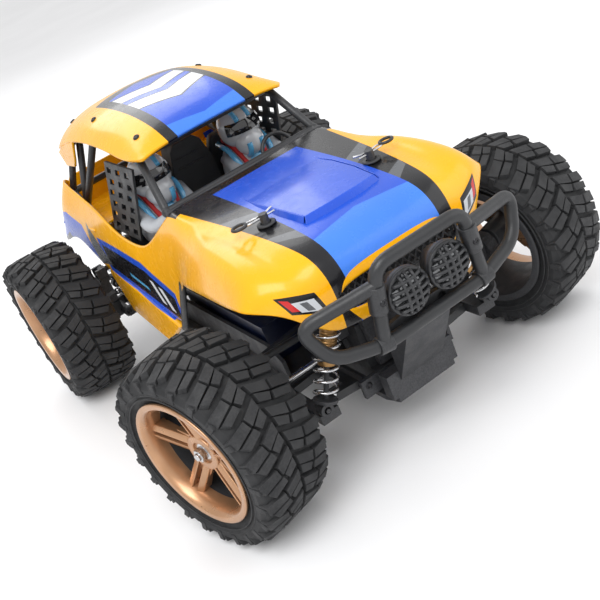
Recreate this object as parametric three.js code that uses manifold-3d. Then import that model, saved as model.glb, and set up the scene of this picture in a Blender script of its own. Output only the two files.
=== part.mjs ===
// Radio-controlled 1:12 desert buggy with a cage body, independent suspension and a tube bumper.
// Units are millimetres. +Z is up, the ground is z = 0, the front faces -Y and the car's left is +X.
// The origin is on the ground, midway between the two axles.
import * as THREE from 'three';
import { mergeVertices } from 'three/addons/utils/BufferGeometryUtils.js';
import Module from 'manifold-3d';

const wasm = await Module();
wasm.setup();

// ---------------------------------------------------------------- driving dimensions
const WHEELBASE = 255;
const FRONT_AXLE = -WHEELBASE / 2;
const REAR_AXLE = WHEELBASE / 2;
const TYRE_RADIUS = 57.5;
const TYRE_HALF_WIDTH = 25;
const TYRE_SIDES = 22;
const RIM_SIDES = 16;
const PIN_SIDES = 6;
const WHEEL_X = 112;            // wheel centre plane from the car's centre plane, wheels straight
const KINGPIN_X = 80.7;
const STEER_REST = 16;          // degrees to the car's left
const BEAD_RADIUS = 37.4;
const RIM_RADIUS = 37;
const RIM_BORE = 34.4;
const AXLE_RADIUS = 2.6;
const AXLE_BORE = 3.1;          // runs clear of the faceted stub axle at every turn
const HALF_LENGTH = 213.5;
const DRIVE_Z = 56;             // height of the centre driveshaft
const SHELL = 1.3;              // wall of the moulded body
const GAP = 0.4;                // clearance between pieces
const TIDY = 0.02;              // edges shorter than this are merged away
const TUBE = 3.6;               // bumper tube radius
const CAGE_TUBE = 2.6;

const ARM_IN = [28, 42];        // lower arm inner pivot, x and z
const ARM_SPAN = [44, 2];       // inner to outer pivot
const LINK_IN = [29, 76];       // upper link inner pivot
const ARM_OUT = [ARM_IN[0] + ARM_SPAN[0], ARM_IN[1] + ARM_SPAN[1]];
const LINK_OUT = [LINK_IN[0] + ARM_SPAN[0], LINK_IN[1] + ARM_SPAN[1]];
const BARREL = 4;
const PIN = 1.5;

const SHOCK_TOP = [35, 102];    // x and z of the shock's eye on the tower
const SHOCK_LOW = [60, 51];     // x and z of its eye on the lower arm
const SHOCK_Y = 35;             // how far each shock stands outboard of its axle, in y
const RACK_Y = FRONT_AXLE + 26;
const RACK_Z = 69;
const STEER_ARM = 17;           // kingpin to tie rod, along the car

const COLOUR = {
  yellow: 0xf6b400, black: 0x1b1c1e, plate: 0x2a2b2d, tyre: 0x262728, bronze: 0xb5804c,
  steel: 0xb9bbbd, seat: 0xb8babd, pack: 0x2f4f7c, gold: 0x8a6a3c,
};

// ---------------------------------------------------------------- solid helpers
function solid(geometry) {
  let g = geometry.clone();
  g.deleteAttribute('normal');
  g.deleteAttribute('uv');
  g = mergeVertices(g, 1e-4);
  return new wasm.Manifold(new wasm.Mesh({
    numProp: 3,
    vertProperties: new Float32Array(g.attributes.position.array),
    triVerts: new Uint32Array(g.index.array),
  }));
}

function geometryOf(body) {
  const mesh = body.simplify(TIDY).getMesh();
  const g = new THREE.BufferGeometry();
  g.setAttribute('position', new THREE.BufferAttribute(new Float32Array(mesh.vertProperties), 3));
  g.setIndex(new THREE.BufferAttribute(new Uint32Array(mesh.triVerts), 1));
  g.computeVertexNormals();
  return g;
}

const join = (...list) => list.flat().reduce((a, b) => a.add(b));
const cut = (body, ...tools) => tools.flat().reduce((a, b) => a.subtract(b), body);
const mirrored = (body) => body.mirror([1, 0, 0]);
const onSide = (body, side) => (side > 0 ? body : mirrored(body));

function box(x0, x1, y0, y1, z0, z1) {
  const g = new THREE.BoxGeometry(x1 - x0, y1 - y0, z1 - z0);
  g.translate((x0 + x1) / 2, (y0 + y1) / 2, (z0 + z1) / 2);
  return solid(g);
}

// Straight round bar between two points.
function bar(a, b, radius, sides = 10, endRadius = radius) {
  const from = new THREE.Vector3(...a);
  const axis = new THREE.Vector3(...b).sub(from);
  const g = new THREE.CylinderGeometry(endRadius, radius, axis.length(), sides);
  g.applyQuaternion(new THREE.Quaternion().setFromUnitVectors(
    new THREE.Vector3(0, 1, 0), axis.clone().normalize()));
  g.translate(...from.addScaledVector(axis, 0.5).toArray());
  return solid(g);
}

const barX = (x0, x1, y, z, r, sides = 10) => bar([x0, y, z], [x1, y, z], r, sides);
const barY = (y0, y1, x, z, r, sides = 8) => bar([x, y0, z], [x, y1, z], r, sides);
const barZ = (z0, z1, x, y, r, sides = 8) => bar([x, y, z0], [x, y, z1], r, sides);

function ball(x, y, z, radius, scale = [1, 1, 1], sides = 10) {
  const g = new THREE.SphereGeometry(radius, sides, Math.round(sides * 0.6));
  g.scale(...scale);
  g.translate(x, y, z);
  return solid(g);
}

// A lathed ring or disc about X. Profile points are [x, radius].
function latheX(profile, sides) {
  const g = new THREE.LatheGeometry(profile.map(([x, r]) => new THREE.Vector2(r, x)), sides);
  g.rotateZ(-Math.PI / 2);
  g.rotateX(Math.PI / sides);
  const body = solid(g);
  return body.volume() > 0 ? body : solid(flipped(g));
}

function flipped(geometry) {
  const g = geometry.clone();
  const index = g.index.array;
  for (let i = 0; i < index.length; i += 3) [index[i], index[i + 1]] = [index[i + 1], index[i]];
  return g;
}

// Plate cut from an outline. Plane 'xy' rises along z, 'yz' along x and 'xz' along y.
function plate(plane, outline, from, to, holes = []) {
  const shape = new THREE.Shape(outline.map((p) => new THREE.Vector2(...p)));
  shape.holes = holes.map((h) => new THREE.Path(h.map((p) => new THREE.Vector2(...p))));
  const g = new THREE.ExtrudeGeometry(shape, { depth: to - from, bevelEnabled: false });
  const turn = {
    xy: new THREE.Matrix4().makeBasis(
      new THREE.Vector3(1, 0, 0), new THREE.Vector3(0, 1, 0), new THREE.Vector3(0, 0, 1)),
    yz: new THREE.Matrix4().makeBasis(
      new THREE.Vector3(0, 1, 0), new THREE.Vector3(0, 0, 1), new THREE.Vector3(1, 0, 0)),
    xz: new THREE.Matrix4().makeBasis(
      new THREE.Vector3(1, 0, 0), new THREE.Vector3(0, 0, 1), new THREE.Vector3(0, -1, 0)),
  }[plane];
  g.applyMatrix4(turn);
  if (plane === 'yz') g.translate(from, 0, 0);
  if (plane === 'xz') g.translate(0, to, 0);
  if (plane === 'xy') g.translate(0, 0, from);
  return solid(g);
}

function circle(cx, cy, r, sides = 12) {
  return Array.from({ length: sides }, (_, i) => {
    const a = (2 * Math.PI * i) / sides;
    return [cx + r * Math.cos(a), cy + r * Math.sin(a)];
  });
}

// Tube through corner points, with each inner corner bent round at the given bend radius.
function bentTube(corners, radius, bend, sides = 10, arcSteps = 3) {
  const pts = corners.map((p) => new THREE.Vector3(...p));
  const path = [pts[0]];
  for (let i = 1; i < pts.length - 1; i += 1) {
    const back = pts[i - 1].clone().sub(pts[i]);
    const ahead = pts[i + 1].clone().sub(pts[i]);
    const reach = Math.min(bend, back.length() * 0.45, ahead.length() * 0.45);
    const start = pts[i].clone().addScaledVector(back.normalize(), reach);
    const end = pts[i].clone().addScaledVector(ahead.normalize(), reach);
    const arc = new THREE.QuadraticBezierCurve3(start, pts[i], end);
    path.push(...arc.getPoints(arcSteps));
  }
  path.push(pts[pts.length - 1]);
  return sweep(path, radius, sides);
}

// Round section carried along a list of points, square to the path at every point.
function sweep(path, radius, sides) {
  const tangents = path.map((p, i) => {
    const t = new THREE.Vector3();
    if (i > 0) t.add(p.clone().sub(path[i - 1]).normalize());
    if (i < path.length - 1) t.add(path[i + 1].clone().sub(p).normalize());
    return t.normalize();
  });
  const first = tangents[0];
  const helper = Math.abs(first.z) < 0.9 ? new THREE.Vector3(0, 0, 1) : new THREE.Vector3(1, 0, 0);
  let normal = helper.clone().cross(first).normalize();
  const positions = [];
  path.forEach((p, i) => {
    if (i > 0) {
      const turn = new THREE.Quaternion().setFromUnitVectors(tangents[i - 1], tangents[i]);
      normal = normal.clone().applyQuaternion(turn).normalize();
    }
    const binormal = tangents[i].clone().cross(normal);
    for (let k = 0; k < sides; k += 1) {
      const a = (2 * Math.PI * k) / sides;
      const q = p.clone()
        .addScaledVector(normal, radius * Math.cos(a))
        .addScaledVector(binormal, radius * Math.sin(a));
      positions.push(q.x, q.y, q.z);
    }
  });
  const index = [];
  const last = (path.length - 1) * sides;
  for (let i = 0; i < path.length - 1; i += 1) {
    for (let k = 0; k < sides; k += 1) {
      const a = i * sides + k;
      const b = i * sides + ((k + 1) % sides);
      index.push(a, b, b + sides, a, b + sides, a + sides);
    }
  }
  for (let k = 1; k < sides - 1; k += 1) {
    index.push(0, k + 1, k, last, last + k, last + k + 1);
  }
  const g = new THREE.BufferGeometry();
  g.setAttribute('position', new THREE.Float32BufferAttribute(positions, 3));
  g.setIndex(index);
  return solid(g);
}

// Gives a sheet of quads a wall. The sheet is rows of points, null where it is open.
function sheetWall(rows, wall) {
  const id = new Map();
  const points = [];
  const key = (i, j) => `${i},${j}`;
  rows.forEach((row, i) => row.forEach((p, j) => {
    if (p) { id.set(key(i, j), points.length); points.push(new THREE.Vector3(...p)); }
  }));
  const quads = [];
  for (let i = 0; i < rows.length - 1; i += 1) {
    for (let j = 0; j < rows[0].length - 1; j += 1) {
      const q = [key(i, j), key(i, j + 1), key(i + 1, j + 1), key(i + 1, j)].map((k) => id.get(k));
      if (!q.includes(undefined) && !(rows.openings ?? []).includes(key(i, j))) quads.push(q);
    }
  }
  const normals = points.map(() => new THREE.Vector3());
  quads.forEach(([a, b, c, d]) => {
    const n = points[c].clone().sub(points[a]).cross(points[d].clone().sub(points[b])).normalize();
    [a, b, c, d].forEach((v) => normals[v].add(n));
  });
  const used = new Set(quads.flat());
  const outer = new Map();
  const positions = [];
  [...used].forEach((v, n) => {
    outer.set(v, n);
    positions.push(...points[v].toArray());
  });
  const count = outer.size;
  [...used].forEach((v) => {
    positions.push(...points[v].clone().addScaledVector(normals[v].normalize(), -wall).toArray());
  });
  const index = [];
  const edges = new Map();
  quads.forEach((quad) => {
    const [a, b, c, d] = quad.map((v) => outer.get(v));
    index.push(a, b, c, a, c, d);
    index.push(a + count, c + count, b + count, a + count, d + count, c + count);
    [[a, b], [b, c], [c, d], [d, a]].forEach(([p, q]) => edges.set(`${p},${q}`, [p, q]));
  });
  edges.forEach(([p, q]) => {
    if (!edges.has(`${q},${p}`)) index.push(p, p + count, q + count, p, q + count, q);
  });
  const g = new THREE.BufferGeometry();
  g.setAttribute('position', new THREE.Float32BufferAttribute(positions, 3));
  g.setIndex(index);
  const body = solid(g);
  return body.volume() > 0 ? body : solid(flipped(g));
}

const mirrorPoint = (p) => p && [-p[0], p[1], p[2]];
const fullRow = (half) => [...half.slice(1).reverse().map(mirrorPoint), ...half];

// ---------------------------------------------------------------- body shell
// Half sections from the centre line outwards, front to back. Columns: centre, centre-panel edge,
// dark-band edge, shoulder, blister inner edge, blister outer edge and lower edge.
const NOSE = [
  [[0, -187, 96], [20, -186.5, 96], [36, -184, 96.5], [45, -181.5, 97], [51, -179.5, 102],
    [56, -178.5, 107], [59, -177, 110]],
  [[0, -187.5, 103], [20, -187, 103], [38, -184.5, 104], [46, -182.5, 106], [52, -181, 109],
    [58, -178.5, 112], [63, -175.5, 114.5]],
  [[0, -187, 119.5], [20, -186.5, 119.5], [39, -184.5, 118], [47.5, -183, 115], [54, -180.5, 116.5],
    [61, -177.5, 118], [69, -172.5, 119.5]],
  [[0, -184.5, 126.5], [31, -184.5, 126.5], [40, -183, 126], [49, -182, 122], [57, -179, 123],
    [66, -174, 124], [76, -167, 122.5]],
];
const HOOD = [
  [[0, -179, 134], [31.4, -179, 134], [41, -178, 134], [50, -177.5, 130], [60, -174.5, 131.5],
    [71, -169, 131], [80, -163, 124.5]],
  [[0, -169, 139.5], [31.4, -169, 139.5], [42.5, -169, 139], [52, -168, 135.5], [62, -165.5, 138],
    [73, -161, 136.5], [80.5, -156, 124.5]],
  [[0, -150, 142.5], [31.3, -150, 142.5], [44.5, -150, 142], [54, -150, 139.5], [62, -149, 142.5],
    [73, -147, 140.5], [80, -141, 122.5]],
  [[0, -128, 144.8], [31.3, -128, 144.8], [47, -128, 144.3], [55, -128, 142.5], [62, -127, 145],
    [72, -126, 142.5], [79, -120, 121]],
  [[0, -105, 146.5], [31.2, -105, 146.5], [50, -105, 146], [56.5, -104, 144.5], [62, -103, 145.5],
    [70.5, -101, 141.5], [77.5, -97, 118.5]],
  [[0, -80, 147.6], [31.1, -80, 147.6], [53, -80, 147.3], [57.5, -80, 146], [62, -79, 143],
    [68, -77, 134], [75, -73, 114.5]],
  [[0, -60, 148.2], [31, -60, 148.2], [54, -61, 148.6], [59, -61, 147], [62.5, -61, 141],
    [66, -60, 130], [71.5, -58, 110.5]],
  [[0, -41, 148], [31, -42, 148.5], [52, -45, 149], [58, -47, 149], [62, -46, 140],
    [65.5, -45, 128], [69, -46, 107]],
];
// Side panel: belt top, belt foot, middle and lower edge.
const SIDE = [
  [[62.5, -22, 134], [65.5, -22, 126], [68, -24, 112], [69, -26, 84]],
  [[66, 4, 119], [69.5, 6, 107], [69.5, 2, 90], [68.5, -6, 63]],
  [[67, 30, 118], [70, 30, 106], [70, 30, 88], [69, 32, 69]],
  [[67, 58, 121], [70, 60, 108], [70, 60, 92], [69.5, 62, 74]],
  [[67, 76, 132], [70, 88, 114], [70.5, 85, 98], [70.5, 88, 79]],
  [[66, 100, 138], [70.5, 108, 123], [71.5, 108, 105], [71.5, 108, 82]],
  [[65.5, 125, 142.5], [71, 128, 127], [72.5, 130, 114], [72.5, 126, 92]],
  [[65, 146, 147], [72, 150, 131], [74, 150, 118], [73.5, 142, 106]],
  [[62, 158, 146], [71, 161, 131], [74.5, 170, 114], [74.5, 166, 101]],
  [[54, 168, 142], [64, 173, 128], [72, 180, 108], [75, 190, 91]],
];
const TAIL = [[-53, 143], [53, 143], [65, 128], [74, 112], [-74, 112], [-65, 128]];

const SILL = [[-5, 63.4], [31, 70.6], [61, 75.7], [87, 80.8], [105, 84.6], [112, 79.5], [98, 48], [36, 39]];

const BELT = [[4, 119], [30, 118], [58, 121], [76, 132], [100, 138], [125, 142.5], [146, 147],
  [150, 131], [128, 127], [108, 123], [88, 114], [60, 108], [30, 106], [6, 107]];

function bodyShell() {
  const noseToCowl = [...NOSE, ...HOOD].map(fullRow);
  const flanks = SIDE.map((half) => [...[...half].reverse().map(mirrorPoint),
    null, null, null, null, null, ...half]);
  const rows = [...noseToCowl, ...flanks];
  rows.openings = [4, 5, 6, 7].map((j) => `1,${j}`);
  const half = join(
    plate('yz', SILL, 66.6, 71.5),
    plate('yz', BELT, 66.4, 71.6),
    bar([67.6, -44, 106], [67.6, -2, 60], 2.2, 6),
  );
  const tail = plate('xz', TAIL, 169.2, 171.2);
  const deck = box(-71, 71, 98, 170, 116, 118);
  const cowlBar = box(-58, 58, -44, -40.5, 143, 147);
  const holes = [-1, 1].map((s) => barZ(138, 156, s * 36, -129, 3.4, 8));
  return cut(join(sheetWall(rows, SHELL), half, mirrored(half), tail, deck, cowlBar), holes);
}

function grilleMesh() {
  const slots = [];
  for (let x = -30; x <= 30; x += 12) slots.push(circle(x, 111.2, 4.6, 4));
  return plate('xz', [[-37, 104.6], [37, 104.6], [38, 117.6], [-38, 117.6]], -181.6, -180.4, slots);
}

// ---------------------------------------------------------------- roof, cage and cockpit
const ROOF_Y = [-24, -14, 2, 30, 70, 105, 135, 152];
const ROOF_Z = [181.5, 188, 194, 198.5, 200, 197.5, 191.5, 185];
const ROOF_EDGE = [[0, 0], [20, 0.6], [31.5, 2.2], [42.5, 5.5], [51, 10.5], [56, 17]];

function roofPanel() {
  const rows = ROOF_Y.map((y, i) => fullRow(ROOF_EDGE.map(([x, drop]) => {
    const share = i === 0 ? 0.18 : i === 1 ? 0.55 : 1;
    const narrow = i === 0 ? 0.93 : 1;
    return [x * narrow, y, ROOF_Z[i] - drop * share];
  })));
  const leg = plate('yz', [[84, 183], [112, 165], [146, 164], [150, 178], [148, 183]], 54.2, 57);
  const cap = sheetWall(rows, 1.8);
  return join(cap, leg, mirrored(leg));
}

const CAGE = {
  aBase: [55.5, -37.4, 147], aTop: [48.5, -8, 176.5],
  bTop: [48.5, 70, 182.5], bBase: [61, 126, 127],
  cTop: [46, 116, 177.5], rearTop: [47, 140, 171.5], rearBase: [60, 150, 136],
};

function rollCage() {
  const c = CAGE;
  const half = join(
    bar(c.aBase, c.aTop, CAGE_TUBE, 6),
    bar(c.bBase, c.bTop, CAGE_TUBE, 6),
    bar(c.bBase, c.cTop, CAGE_TUBE, 6),
    bar(c.rearBase, c.rearTop, CAGE_TUBE, 6),
    bar(c.bBase, c.rearBase, CAGE_TUBE, 6),
    bentTube([c.aTop, c.bTop, c.cTop, c.rearTop], CAGE_TUBE, 6, 6, 1),
  );
  const across = [c.aTop, c.bTop, c.rearTop, c.rearBase, c.aBase].map((p) => bar(mirrorPoint(p), p, CAGE_TUBE, 6));
  return join(half, mirrored(half), across);
}

// Window net, a leaning panel with staggered openings between its straps.
function windowNet() {
  const width = 52;
  const height = 66;
  const openings = [];
  for (let i = 0; i < 3; i += 1) {
    for (let k = 0; k < 6; k += 1) {
      const cx = 8.5 + i * 16.5 + (k % 2) * 3;
      const cy = 7 + k * 10.4;
      openings.push(box(cx - 4, cx + 4, cy - 2.6, cy + 2.6, -1, 3));
    }
  }
  const flat = cut(box(0, width, 0, height, 0, 1.6), openings);
  const low = new THREE.Vector3(58.6, 30, 116);
  const along = new THREE.Vector3(0, 1, 0);
  const up = new THREE.Vector3(-5.5, -40, 61).normalize();
  const out = new THREE.Vector3().crossVectors(along, up).normalize();
  const lean = new THREE.Matrix4().makeBasis(along, up, out).setPosition(low);
  return flat.transform(lean.toArray());
}

// One vacuum-formed skin: floor, seats, centre console and two helmeted figures, open underneath.
function cockpitInsert() {
  const shapes = (grow) => {
    const half = join(
      ball(36, 30, 153, 15 + grow, [1, 1.08, 1.05], 9),
      ball(36, 36, 121, 24 + grow, [0.82, 0.8, 1.1], 9),
      barZ(100 - 4, 146, 36, 31, 9 + grow, 6),
      box(17 - grow, 55 + grow, 52 - grow, 62 + grow, 94, 150 + grow),
    );
    const console_ = join(
      box(-11 - grow, 11 + grow, -36 - grow, 62 + grow, 94, 118 + grow),
      box(-12 - grow, 12 + grow, 46 - grow, 62 + grow, 94, 158 + grow),
    );
    return join(half, mirrored(half), console_);
  };
  const tray = box(-60, 60, -38, 92, 100, 102);
  return cut(join(tray, shapes(0)), shapes(-1.5), box(-80, 80, -80, 120, 60, 100));
}

function steeringWheelSmall() {
  const ring = latheX([[-1.1, 9.6], [1.1, 9.6], [1.1, 12], [-1.1, 12], [-1.1, 9.6]], 12);
  const spoke = box(-0.9, 0.9, -10.6, 10.6, -1.2, 1.2);
  const hub = barX(-1, 9, 0, 0, 2.6, 8);
  const turn = new THREE.Matrix4().makeRotationZ(-Math.PI / 2)
    .multiply(new THREE.Matrix4().makeRotationY(-0.35));
  return join(ring, spoke, hub).transform(turn.toArray()).translate([36, -18, 140]);
}

// ---------------------------------------------------------------- chassis and drive
function chassisPlate() {
  const half = [[0, -168], [20, -168], [23, -158], [23, -98], [44, -84], [52, -60], [52, 60],
    [44, 84], [23, 98], [23, 158], [20, 166], [0, 166]];
  const outline = [...half, ...half.slice(1, -1).reverse().map(([x, y]) => [-x, y])];
  const wall = plate('yz', [[-84, 30], [-84, 44], [-70, 52], [70, 52], [84, 44], [84, 30]], 42, 44.5);
  const walls = [wall, mirrored(wall)];
  const chamfer = box(-23, 23, -168, -160, 33, 48);
  return join(plate('xy', outline, 30, 33.5), walls, chamfer);
}

function gearbox(y, facing) {
  const housing = box(-20, 20, y - 20, y + 20, 34, 74);
  const top = barX(-14, 14, y, 66, 15, 10);
  const nose = barY(y + facing * 18, y + facing * 30, 0, DRIVE_Z, 9, 8);
  const parts = [housing, top, nose];
  [-1, 1].forEach((side) => {
    [-1, 1].forEach((end) => {
      const lug = box(0, ARM_IN[0] + BARREL, end > 0 ? y + 24 : y - 27, end > 0 ? y + 27 : y - 24, 35, 46);
      const arm = box(0, 20, end > 0 ? y + 14 : y - 27, end > 0 ? y + 27 : y - 14, 35, 46);
      parts.push(onSide(join(lug, arm), side));
    });
    parts.push(onSide(barY(y - 26, y + 26, ARM_IN[0], ARM_IN[1], PIN, 6), side));
    parts.push(onSide(barX(12, 23, y, TYRE_RADIUS, 6.5, 8), side));
    const ear = join(
      box(18, LINK_IN[0] + 3.4, y - 10.5, y - 7.5, 66, 80),
      box(18, LINK_IN[0] + 3.4, y + 7.5, y + 10.5, 66, 80),
      box(10, 24, y - 10.5, y + 10.5, 66, 74),
      barY(y - 9, y + 9, LINK_IN[0], LINK_IN[1], PIN, 6),
    );
    parts.push(onSide(ear, side));
  });
  return join(parts);
}

// Shock tower with the body posts that the clips hold.
function shockTower(y, facing, postX, postTop) {
  const face = y + facing * 22.6;
  const outer = face + facing * 4;
  const stud = y + facing * (SHOCK_Y + 3.6);
  const panel = [[-16, 48], [16, 48], [18, 80], [42, 96], [43, 106], [34, 109], [12, 100], [-12, 100],
    [-34, 109], [-43, 106], [-42, 96], [-18, 80]];
  const board = plate('xz', panel, Math.min(face, outer), Math.max(face, outer));
  const postY = y + facing * 1.5;
  const half = join(
    plate('yz', [[face, 94], [face, 105], [postY - facing * 2.4, 114], [postY - facing * 2.4, 106]],
      postX - 6, postX - 1),
    bar([postX, postY, 106], [postX, postY, postTop], 2.6, 8),
    bar([SHOCK_TOP[0], face, SHOCK_TOP[1]], [SHOCK_TOP[0], stud, SHOCK_TOP[1]], 1.6, PIN_SIDES),
  );
  return join(board, half, mirrored(half));
}

function lowerArm(y, facing) {
  const [xi, zi] = ARM_IN;
  const [xo, zo] = ARM_OUT;
  const outline = [[xi, y - 22], [xo - 10, y - 17], [xo - 7, y - 16], [xo - 7, y + 16], [xo - 10, y + 17],
    [xi, y + 22]];
  const hole = [[xi + 9, y - 12], [xo - 16, y - 10], [xo - 16, y + 10], [xi + 9, y + 12]];
  const deck = plate('xy', outline, zi - 2, zi + 3, [hole]);
  const barrel = barY(y - 23, y + 23, xi, zi, BARREL, 8);
  const fork = [-1, 1].map((s) => join(
    box(xo - 8, xo, y + s * 14 - 2, y + s * 14 + 2, zo - 3.6, zo + 3.6),
    barY(y + s * 14 - 2, y + s * 14 + 2, xo, zo, 3.8, 8)));
  const pin = barY(y - 13, y + 13, xo, zo, PIN, 6);
  const along = (near, far) => [y + facing * near, y + facing * far].sort((m, n) => m - n);
  const [xs, zs] = SHOCK_LOW;
  const ear = join(
    box(xs - 9, xs + 3, ...along(14, SHOCK_Y - 3.6), zi - 2, zi + 4),
    box(xs - 3.5, xs + 1.5, ...along(SHOCK_Y - 7, SHOCK_Y - 3.6), zi - 2, zs),
    barY(...along(SHOCK_Y - 7, SHOCK_Y - 3.6), xs, zs, 2.4, 8),
    barY(...along(SHOCK_Y - 6, SHOCK_Y + 3.6), xs, zs, 1.4, PIN_SIDES),
  );
  const clear = barY(y - 24, y + 24, xi, zi, PIN + GAP, 8);
  const slotCut = box(xo - 6.5, xo + 8, y - 11.9, y + 11.9, zo - 8, zo + 8);
  return join(cut(join(deck, barrel, ...fork, ear), slotCut, clear), pin);
}

function upperLink(y) {
  const [xi, zi] = LINK_IN;
  const [xo, zo] = LINK_OUT;
  const body = join(
    barY(y - 6.8, y + 6.8, xi, zi, 3.6, 8),
    bar([xi, y, zi], [xo, y, zo], 2.2, 8),
    barY(y - 2.6, y + 2.6, xo, zo, 3.6, 8),
  );
  return cut(body, barY(y - 9, y + 9, xi, zi, PIN + GAP, 8), barY(y - 9, y + 9, xo, zo, PIN + 0.7, 8));
}

// Carries the axle: barrel on the lower arm, two cheeks for the upper link.
function linkCheeks(y) {
  const [xo, zo] = LINK_OUT;
  return join(
    box(xo - 2, xo + 6, y - 6, y - 3.4, zo - 8, zo + 3.4),
    box(xo - 2, xo + 6, y + 3.4, y + 6, zo - 8, zo + 3.4),
    barY(y - 5, y + 5, xo, zo, PIN, 6),
  );
}

function casterBlock(y) {
  const [xo, zo] = ARM_OUT;
  const spineIn = xo + 0.5;
  const spineOut = xo + 3;
  const top = 73.8;
  const ear = (low, high) => join(box(spineIn, KINGPIN_X, y - 5, y + 5, low, high),
    barZ(low, high, KINGPIN_X, y, 5, 8));
  const body = join(
    ear(zo - 3, zo + 1),
    ear(top - 3.6, top),
    box(spineIn, spineOut, y - 9, y - 5, zo - 3, top),
    box(spineIn, spineOut, y + 5, y + 9, zo - 3, top),
    box(spineIn, spineOut, y - 9, y + 9, zo - 3, zo + 3),
    box(spineIn, spineOut, y - 9, y + 9, top - 4, top),
    barY(y - 11.4, y + 11.4, xo, zo, 3.6, 8),
    linkCheeks(y),
  );
  const kingpins = [barZ(zo, 47, KINGPIN_X, y, 1.6, PIN_SIDES), barZ(67.6, 72, KINGPIN_X, y, 1.6, PIN_SIDES)];
  return join(cut(body, barY(y - 14, y + 14, xo, zo, PIN + GAP, 8)), kingpins);
}

// Drawn straight ahead with the kingpin at the origin, then turned to the steering angle at rest.
function knuckle() {
  const block = join(
    barZ(-12.2, 11.8, 0, 0, 4.6, 8),
    box(-1, 6.5, -6, 6, -9, 9),
    barX(4, 13, 0, 0, 9, 12),
    box(0, 6, 0, STEER_ARM + 1, 3.5, 7),
    barZ(3.5, 7, 3, STEER_ARM, 3.6, 8),
  );
  return cut(block, barZ(-14, -10, 0, 0, 1.6 + GAP, 8), barZ(9.6, 14, 0, 0, 1.6 + GAP, 8),
    barX(-6, 14, 0, 0, AXLE_BORE, 10));
}

function rearCarrier(y) {
  const [xo, zo] = ARM_OUT;
  const body = join(
    barY(y - 11.4, y + 11.4, xo, zo, 3.6, 8),
    box(xo + 1, xo + 9, y - 7, y + 7, zo - 3, LINK_OUT[1] - 4.4),
    barX(xo + 1, WHEEL_X - 18, y, TYRE_RADIUS, 9, 10),
    linkCheeks(y),
  );
  return cut(body, barY(y - 14, y + 14, xo, zo, PIN + GAP, 8),
    barX(xo - 2, WHEEL_X - 16, y, TYRE_RADIUS, AXLE_BORE, 10));
}

// ---------------------------------------------------------------- wheels, about the X axis at the origin
const facetRadius = (r, sides) => r / Math.cos(Math.PI / sides);

function tyre() {
  const crown = facetRadius(TYRE_RADIUS, TYRE_SIDES);
  const w = TYRE_HALF_WIDTH;
  const bead = facetRadius(BEAD_RADIUS, TYRE_SIDES);
  const outside = [[21.2, bead], [21.2, 40.6], [w, 46], [w - 2, crown - 3.5], [w - 9, crown]];
  const inside = [[w - 9, crown - 4.5], [w - 5, 47], [16, bead]];
  const flip = (list) => [...list].reverse().map(([x, r]) => [-x, r]);
  const ring = [...outside, ...flip(outside), ...flip(inside), ...inside];
  return latheX([...ring, ring[0]], TYRE_SIDES);
}

// Barrel with two bead flanges, five split spokes, hub and the stub axle.
function rim() {
  const flange = 39.6;
  const barrel = latheX([[-23.6, RIM_BORE], [-23.6, flange], [-21.6, RIM_RADIUS], [21.6, RIM_RADIUS],
    [21.6, flange], [23.6, flange], [23.6, RIM_BORE], [-23.6, RIM_BORE]], RIM_SIDES);
  const reach = RIM_BORE + 1;
  const star = [];
  for (let i = 0; i < 5; i += 1) {
    const turn = 2 * Math.PI * i / 5;
    const at = (radius, degrees) => [radius * Math.cos(turn + THREE.MathUtils.degToRad(degrees)),
      radius * Math.sin(turn + THREE.MathUtils.degToRad(degrees))];
    star.push(at(14, -36), at(reach, -25), at(reach, -13), at(20, 0), at(reach, 13), at(reach, 25));
  }
  const hub = barX(-15, 11, 0, 0, 8, 8);
  const axle = barX(-30, -12, 0, 0, AXLE_RADIUS, 8);
  return join(barrel, plate('yz', star, 8, 13), hub, axle);
}

// ---------------------------------------------------------------- shocks
const shockVector = new THREE.Vector3(SHOCK_LOW[0] - SHOCK_TOP[0], 0, SHOCK_LOW[1] - SHOCK_TOP[1]);
const SHOCK_LENGTH = shockVector.length();

// Drawn along -Z from the upper eye at the origin, then leaned outwards onto the arm.
function placeShock(body, y, facing) {
  const lean = Math.atan2(shockVector.x, -shockVector.z);
  const turn = new THREE.Matrix4().makeRotationY(-lean);
  return body.transform(turn.toArray())
    .translate([SHOCK_TOP[0], y + facing * SHOCK_Y, SHOCK_TOP[1]]);
}

function shockCylinder() {
  const body = join(barY(-2.8, 2.8, 0, 0, 4, 8), barZ(-32, -2, 0, 0, 4.8, 10), barZ(-9, -6, 0, 0, 7.6, 12),
    barZ(-32, -30, 0, 0, 5, 10));
  return cut(body, barY(-4, 4, 0, 0, 1.6 + GAP, 10), barZ(-34, -8, 0, 0, 1.8, 10));
}

function shockRod() {
  const body = join(barZ(-SHOCK_LENGTH + 2, -24, 0, 0, 1.4, 6), barY(-2.8, 2.8, 0, -SHOCK_LENGTH, 3.8, 8),
    barZ(-SHOCK_LENGTH + 4.2, -SHOCK_LENGTH + 6, 0, 0, 6.8, 12));
  return cut(body, barY(-4, 4, 0, -SHOCK_LENGTH, 1.4 + 0.8, 10));
}

function shockSpring() {
  const top = -10.4;
  const bottom = -SHOCK_LENGTH + 7.4;
  const turns = 4.5;
  const steps = 36;
  const coil = 6.4;
  const path = Array.from({ length: steps + 1 }, (_, i) => {
    const t = i / steps;
    const a = 2 * Math.PI * turns * t;
    return new THREE.Vector3(coil * Math.cos(a), coil * Math.sin(a), top + (bottom - top) * t);
  });
  return sweep(path, 0.75, 4);
}

// ---------------------------------------------------------------- steering
const RACK_END = 22;

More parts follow.
